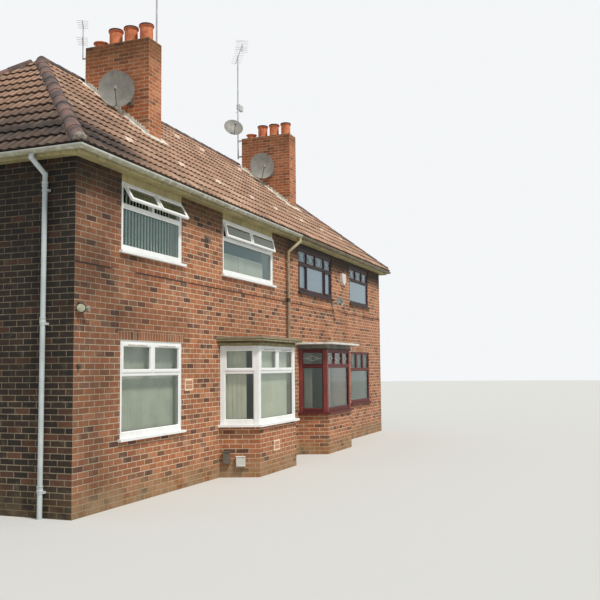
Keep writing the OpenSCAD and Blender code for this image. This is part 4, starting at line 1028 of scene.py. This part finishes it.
def slot_vents(openings, origin=(0.0, reveal), turn=0.0):
    """A ribbed hood near the head of each opening, over the middle 64 hundredths of its width."""
    ways = [[on_face(x0 + k * (x1 - x0), z1 - 0.010, 0.011, origin, turn) for k in (0.18, 0.82)]
            for x0, _, x1, z1 in openings]
    return [carry(slot_hood, way, outward(turn)) for way in ways]


for bay, tops, made, slot, post, edging, drop, (board_out, board_h), board_paint in (
        ("left", halves, white_plastic, "white_plastic", white_plastic, edge_board, 0.034, (0.010, 0.052),
         edge_board),
        ("right", thirds, mahogany, "mahogany", red_post_painted_lit, pale_edge, 0.008, (0.008, 0.020), shadow_board)):
    fixed_rings, sash_rings, seals, boards_up, bay_slots, bay_cames = [], [], [], [], [], []
    for origin, turn_of, (low, top) in bay_faces(bay, tops):
        length = low[-1][2] + frame_w
        low = [(low[0][0] + cover, low[0][1], low[0][2] - cover, low[0][3])]
        top = [(x0 + cover * (i == 0), z0, x1 - cover * (i == len(top) - 1), z1)
               for i, (x0, z0, x1, z1) in enumerate(top)]
        fixed_rings.append(ring(bead_shape, low, origin, turn_of))
        if bay == "left":
            sash_rings.append(ring(sash_shape, top, origin, turn_of))
        else:
            fixed_rings.append(ring(bead_shape, top, origin, turn_of))
        seals.append(ring(gasket_shape, low, origin, turn_of))
        for middle in (half_cover, length - half_cover):
            way = [on_face(middle, z, 0.0, origin, turn_of) for z in (bay_base + 0.041, bay_head - 0.001)]
            boards_up.append(carry(cover_board, way, outward(turn_of)))
        if bay == "right":
            for x0, z0, x1, z1 in top:
                mid_x, mid_z = (x0 + x1) / 2, (z0 + z1) / 2
                reach = min(0.30 * (x1 - x0), 0.13)
                lines = diamond(mid_x, mid_z, reach, 0.055)
                lines += [((x0 + 0.014, mid_z), (mid_x - reach, mid_z)),
                          ((mid_x + reach, mid_z), (x1 - 0.014, mid_z))]
                ways = [[on_face(a, h, -0.0215, origin, turn_of) for a, h in line] for line in lines]
                bay_cames.append(carry(came, ways, outward(turn_of)))
        elif len(top) == 2:
            bay_slots += slot_vents(top, origin, turn_of)
    piece("bay_" + bay + "_beads", fixed_rings, made, slot, loop=True)
    if sash_rings:
        piece("bay_" + bay + "_sashes", sash_rings, made, slot, loop=True)
    piece("bay_" + bay + "_gaskets", seals, black_rubber, "black_plastic", loop=True)
    piece("bay_" + bay + "_cover_boards", boards_up, post, slot)
    if bay_cames:
        piece("bay_cames", bay_cames, lead, "lead")
    rim, head = bay_corners(bay, bay_shapes[bay][5]), bay_corners(bay, 0.002)
    rim[[0, -1], 1], head[[0, -1], 1] = -0.004, -0.002
    rim, head = (np.hstack([plan, np.full((4, 1), z)])
                 for plan, z in ((rim, deck_z), (head, bay_head + 0.001)))
    skirt = [(-0.012, -drop), (-0.002, -drop), (-0.001, skirt_top), (-0.012, skirt_top)]
    piece("bay_" + bay + "_drip", [carry(shape, rim, (0.0, 0.0, 1.0)) for shape in (skirt, welt)], edging,
          "felt_roof")
    board = [(0.0, 0.0), (board_out, 0.0), (board_out, board_h), (0.0, board_h)]
    piece("bay_" + bay + "_head_board", carry(board, head, (0.0, 0.0, 1.0)), board_paint, slot)
    if bay_slots:
        piece("trickle_vents", bay_slots + slot_vents(white_vents), pale_edge, "white_plastic")


def bay_blinds(name, bay, behind, rows, spacing, cloth):
    """Slats along a bay's faces, behind its bricks' line: each row is a face, the shares of its
    length where it starts and stops, and the slats' turn."""
    line, made = bay_corners(bay, -behind), []
    for face, start, stop, degrees in rows:
        first, last = (line[face] * (1 - share) + line[face + 1] * share for share in (start, stop))
        made.append(slats(first, last, 0.93, 2.27, 0.089, spacing, degrees))
    piece(name, made, cloth, "white_plastic")


slat_cloth = fabric("slat_cloth", (232, 236, 210), (216, 222, 196))
bay_blinds("bay_slats", "left", 0.120, ((0, 0.03, 0.76, 6), (1, 0.02, 0.93, -6), (2, 0.06, 0.90, -6)),
           0.080, slat_cloth)
bay_blinds("right_slats", "right", 0.135, ((0, 0.16, 0.56, 4), (1, 0.02, 0.30, -6)), 0.086, roller_cloth)

# Back. The same plastic windows and beads as on the front, and a moulded door a house with four
# sunk panels, a black seal round its leaf and a steel lever handle on a long plate.
door_x, leaf_in, leaf_w, leaf_z = 5.2352, 0.061, 0.808, (0.156, 26 * course_h - 0.061)
door_lefts = (door_x, 2 * hand_x - door_x - 0.93)
back_rects = []
for span, height in ((narrow, upper), ((door_x - 0.875, 1.750), upper), (narrow, lower)):
    found = lights(span, height, whole, halves)
    for rows in (found, handed(found)):
        back_rects += rows[0] + rows[1]
back_beads = ring(bead_shape, back_rects, (row_l, row_d - reveal), math.pi)
piece("back_beads", back_beads, white_plastic, "white_plastic", loop=True)
leaf_face = ((row_l, row_d - reveal - 0.013), math.pi)
panel_edge = [(0.0, 0.0), (-0.012, 0.010), (-0.030, 0.010), (-0.042, 0.002), (-0.042, -0.006), (0.0, -0.006)]
panels = [(x + left, z0, x + left + 0.30, z1) for x in door_lefts for z0, z1 in ((0.33, 0.95), (1.10, 2.02))
          for left in (0.14, 0.48)]
piece("door_panels", ring(panel_edge, panels, *leaf_face), white_plastic, "white_plastic", loop=True)
dress(white_plastic, "back_doors")
seal = [(-0.004, -0.001), (-0.004, 0.0015), (0.004, 0.0015), (0.004, -0.001)]
leaves = [(x + leaf_in, leaf_z[0], x + leaf_in + leaf_w, leaf_z[1]) for x in door_lefts]
piece("door_seals", ring(seal, leaves, *leaf_face), black_rubber, "black_plastic", loop=True)
plate = [(-0.016, -0.001), (-0.016, 0.004), (-0.013, 0.007), (0.013, 0.007), (0.016, 0.004), (0.016, -0.001)]
handle_in, lever_l, lever_out, lever_z = 0.812, 0.115, (0.004, 0.050), 1.13
handles = []
for a, way in ((door_x + handle_in, -1), (2 * hand_x - door_x - handle_in, 1)):
    handles.append(carry(plate, [on_face(a, z, 0.0, *leaf_face) for z in (1.00, 1.22)], (0.0, 1.0, 0.0)))
    lever = [on_face(a, lever_z, lever_out[0], *leaf_face), on_face(a, lever_z, lever_out[1], *leaf_face),
             on_face(a + way * lever_l, lever_z, lever_out[1], *leaf_face)]
    handles.append(carry(rounded(0.009, 12), lever, (0.0, 0.0, 1.0)))
piece("door_handles", handles, steel, "aerial_metal", smooth=40)

# Dishes and aerials. Pressed steel dishes in matt warm-grey paint on galvanised arms, and plain
# aluminium masts, booms and rods held off the stacks by brackets.
dish_paint = painted("dish_paint", (134, 132, 124), (118, 116, 109), (94, 88, 80), 0.5, 6.0, 0.2, 0.2)
aluminium = painted("aluminium", (206, 208, 208), (184, 186, 188), (140, 138, 132), 0.38, 5.0, 0.2, 0.2)
dress(dish_paint, "satellite_dishes")
dress(aluminium, "aerial_left", "aerial_right")

# Small fittings. A twin security lamp with a sensor by the corner, a small lamp between the upper
# windows, a pointed alarm box on the right house and two meter boxes on the left bay; moulded
# plastic, screwed on.
wall_gap = 0.001


def turned(profile, centre, axis, sides=24):
    """A profile (radius, along) turned about an axis: r cos t and r sin t square to the axis."""
    axis = np.array(axis, float) / np.linalg.norm(axis)
    side = np.cross(axis, (0.0, 0.0, 1.0))
    side /= np.linalg.norm(side)
    other = np.cross(axis, side)
    turn = (np.arange(sides) * 2 * np.pi / sides)[None, :, None]
    profile = np.asarray(profile, float)[:, :, None]
    return (np.array(centre) + profile[:, :1] * (np.cos(turn) * side + np.sin(turn) * other)
            + profile[:, 1:] * axis)


def shaped(outline, y0, y1, ease):
    """An outline (x, z) given depth from y0 to y1, its front drawn in by ease: each point is moved
    towards the middle by ease over the outline's reach."""
    outline = np.asarray(outline, float)
    middle = outline.mean(0)
    small = middle + (outline - middle) * (1 - ease / np.abs(outline - middle).max(0))
    rows = [(outline, y0), (outline, y1 + ease * 0.8), (small, y1)]
    return np.stack([np.stack([o[:, 0], np.full(len(o), y), o[:, 1]], -1) for o, y in rows])


def block(x0, x1, z0, z1, y1, y0=-wall_gap, ease=0.006):
    """A moulded box with cut corners: an eight-sided outline given depth."""
    xs = (x0 + ease, x1 - ease, x1, x1, x1 - ease, x0 + ease, x0, x0)
    zs = (z0, z0, z0 + ease, z1 - ease, z1, z1, z1 - ease, z0 + ease)
    return shaped(list(zip(xs, zs)), y0, y1, ease)


box_plastic = painted("box_plastic", (226, 214, 204), (210, 200, 190), (160, 140, 124), 0.5, 6.0, 0.3, 0.15)
lamp_plastic = painted("lamp_plastic", (64, 60, 54), (48, 46, 42), (100, 94, 82), 0.5, 8.0, 0.3, 0.2)
lamp_grey = painted("lamp_grey", (112, 98, 84), (92, 82, 72), (64, 56, 48), 0.6, 8.0, 0.4, 0.2)
lens_plastic = painted("lens_plastic", (206, 204, 176), (176, 178, 150), (120, 116, 96), 0.25, 14.0, 0.2, 0.3)
pale_lamp = painted("pale_lamp", (176, 176, 168), (150, 150, 144), (100, 98, 90), 0.5, 9.0, 0.3, 0.2)
case = [(0.004, -0.095), (0.034, -0.092), (0.044, -0.070), (0.050, -0.030), (0.062, -0.004), (0.064, 0.008),
        (0.058, 0.010), (0.056, 0.002), (0.004, 0.001)]
lens = [(0.004, 0.002), (0.055, 0.002), (0.052, 0.008), (0.032, 0.013), (0.004, 0.015)]
sensor = [(0.004, -0.03), (0.022, -0.028), (0.028, 0.0), (0.022, 0.024), (0.004, 0.030)]
button = [(0.004, 0.0), (0.020, 0.0), (0.020, 0.006), (0.004, 0.008)]
dome = [(0.004, 0.0), (0.040, 0.0), (0.046, 0.012), (0.042, 0.026), (0.004, 0.032)]
near_lamp, near_way = (0.038, -0.078, 2.692), (-0.80, -0.45, -0.28)
far_lamp, far_way, far_size = (0.178, -0.098, 2.688), (0.50, -0.86, -0.15), 0.62
to_street = (0.0, -1.0, 0.001)
arm = [(0.105, -0.010, 2.735), (0.098, -0.052, 2.728), (0.075, -0.066, 2.715)]
lamp_body = piece("lamp_bodies", [
    turned(case, near_lamp, near_way),
    block(0.066, 0.144, 2.696, 2.774, -0.030),
    carry(rounded(0.014, 8), arm, (1.0, 0.0, 0.0)),
    turned(sensor, (0.090, -0.060, 2.655), (-0.1, -0.3, -1.0), 16),
    block(0.064, 0.116, 1.904, 1.966, -0.038, ease=0.010),
    turned(button, (0.090, -0.036, 1.935), to_street, 14),
], lamp_plastic, "black_plastic", smooth=35)
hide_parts("wall_lights")
piece("lamp_lens", turned(lens, near_lamp, near_way), lens_plastic, "glass", smooth=35)
second_case = [(r * far_size, h * far_size) for r, h in case]
piece("second_lamp", turned(second_case, far_lamp, far_way), pale_lamp, "white_plastic", smooth=35)
upper_lamp = [block(3.604, 3.706, 4.064, 4.166, -0.036, ease=0.012),
              turned(dome, (3.655, -0.034, 4.108), to_street, 18)]
piece("upper_lamp", upper_lamp, lamp_grey, "black_plastic", smooth=35)
alarm_x, alarm_z, alarm_w = 11.050, 4.010, 0.290
half_shield = [(0.120, 0.004), (0.030, 0.062), (0.004, 0.092), (0.0, 0.288), (0.010, 0.300)]
shield = [(alarm_x + a, alarm_z + h) for a, h in half_shield]
shield += [(alarm_x + alarm_w - a, alarm_z + h) for a, h in half_shield[::-1]]
raised = block(alarm_x + 0.075, alarm_x + 0.215, alarm_z + 0.130, alarm_z + 0.240, -0.0845, -0.080, 0.003)
alarm = piece("alarm_cover", [shaped(shield, -wall_gap, -0.084, 0.014), raised], box_plastic, "white_plastic",
              smooth=30)
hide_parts("alarm_box")
meter_plastic, place = material("meter_plastic", Roughness=0.5)
worn = place.noise(7.0, 5.0)
grime = place.stretched(1.0, 1.0, 0.2).noise(14.0, 4.0).between(0.5, 0.75)
tone = place.parts()[1].between(-3.46, -3.44).pick(
    worn.between(0.35, 0.65).pick((222, 222, 216), (204, 204, 198)),
    worn.between(0.35, 0.65).pick((112, 104, 92), (94, 88, 78)))
wire(meter_plastic, Base_Color=tone.stain(grime * 0.35, (190, 180, 160)), Normal=worn.bump(0.2, 0.002))
dress(meter_plastic, "meter_boxes")
turn_of = bay_faces("left", halves)[0][1]
door_edge = [(0.0, 0.0), (0.0, 0.004), (-0.004, 0.006), (-0.012, 0.006), (-0.014, 0.0)]
meter_hood = [(-0.006, -0.048), (-0.006, 0.012), (0.0, 0.020), (0.006, 0.020), (0.006, -0.048)]
foot, inset = tuple(bay_corners("left", 0.0)[0]), 0.006
for name, (a0, z0, a1, z1), depth in (("narrow_meter", (0.060, 0.240, 0.190, 0.450), 0.060),
                                      ("wide_meter", (0.290, 0.190, 0.450, 0.365), 0.055)):
    start = on_face(0.0, 0.0, depth, foot, turn_of)
    frame_line = ring(door_edge, [(a0 + inset, z0 + inset, a1 - inset, z1 - inset)], start, turn_of)
    piece(name + "_door", frame_line, meter_plastic, "meter_plastic", loop=True)
    way = [on_face(a, z1 - 0.002, depth - 0.010, foot, turn_of) for a in (a0 - inset, a1 + inset)]
    piece(name + "_hood", carry(meter_hood, way, outward(turn_of)), meter_plastic, "meter_plastic")

# Stage. The camera stands where the picture was taken from, left of the corner at eye height; a
# broad soft sun comes from the street side and a pale sky fills the shade.
eye, lens_mm = (-16.0575, -9.6114, 1.892), 48.306
yaw, tip, lean = math.radians(20.904), math.radians(4.809), math.radians(-0.574)


def placed(made, right, upward, back, place=(0.0, 0.0, 0.0)):
    """Stands a camera or lamp at a place, looking away from back."""
    matrix = np.eye(4)
    matrix[:3] = np.column_stack([right, upward, back, place])
    thing = bpy.data.objects.new(made.name, made)
    bpy.context.scene.collection.objects.link(thing)
    thing.matrix_world = Matrix(matrix.tolist())
    return thing


ahead = np.array([math.cos(yaw) * math.cos(tip), math.sin(yaw) * math.cos(tip), math.sin(tip)])
level = np.array([math.sin(yaw), -math.cos(yaw), 0.0])
above = np.cross(level, ahead)
right = level * math.cos(lean) + above * math.sin(lean)
upward = above * math.cos(lean) - level * math.sin(lean)
camera = bpy.data.cameras.new("street_camera")
camera.sensor_width, camera.lens, camera.clip_end = 36.0, lens_mm, 400.0
bpy.context.scene.camera = placed(camera, right, upward, -ahead, eye)

sun = bpy.data.lights.new("soft_sun", "SUN")
sun.energy, sun.angle, sun.color = 3.0, math.radians(9), (1.0, 0.965, 0.91)
toward = np.array([-0.30, -0.80, 1.30])
toward = toward / np.linalg.norm(toward)
flat = np.cross([0.0, 0.0, 1.0], toward)
flat = flat / np.linalg.norm(flat)
placed(sun, flat, np.cross(toward, flat), toward)

world = bpy.data.worlds.new("pale_sky")
world.use_nodes = True
bpy.context.scene.world = world
sky = world.node_tree.nodes["Background"]
path = world.node_tree.nodes.new("ShaderNodeLightPath")
rays = [Link(path.outputs["Is " + kind + " Ray"]) for kind in ("Camera", "Glossy", "Transmission")]
seen = rays[0].sum("MAXIMUM", rays[1]).sum("MAXIMUM", rays[2])
world.node_tree.links.new(seen.pick((222, 228, 236), (244, 246, 248)).socket, sky.inputs["Color"])
world.node_tree.links.new((seen * 0.44 + 0.56).socket, sky.inputs["Strength"])

around = 96
circle = rounded(1.0, around)
radius = np.array([0.0, 6.0, 12.0, 20.0, 40.0, 90.0])[:, None, None]
floor_points = np.concatenate([radius * circle, np.zeros((6, around, 1))], 2)
here = np.arange(5 * around).reshape(5, around)
there = here + around
floor_faces = np.stack([here, there, np.roll(there, -1, 1), np.roll(here, -1, 1)], -1)
floor_mesh = bpy.data.meshes.new("studio_floor")
floor_mesh.from_pydata(floor_points.reshape(-1, 3).tolist(), [], floor_faces.reshape(-1, 4).tolist())
studio_floor = bpy.data.objects.new("studio_floor", floor_mesh)
bpy.context.scene.collection.objects.link(studio_floor)
pale_floor, _ = material("pale_floor", Roughness=0.9, Base_Color=srgb(204, 204, 200))
floor_mesh.materials.append(pale_floor)

bpy.context.scene.view_settings.view_transform = "Standard"
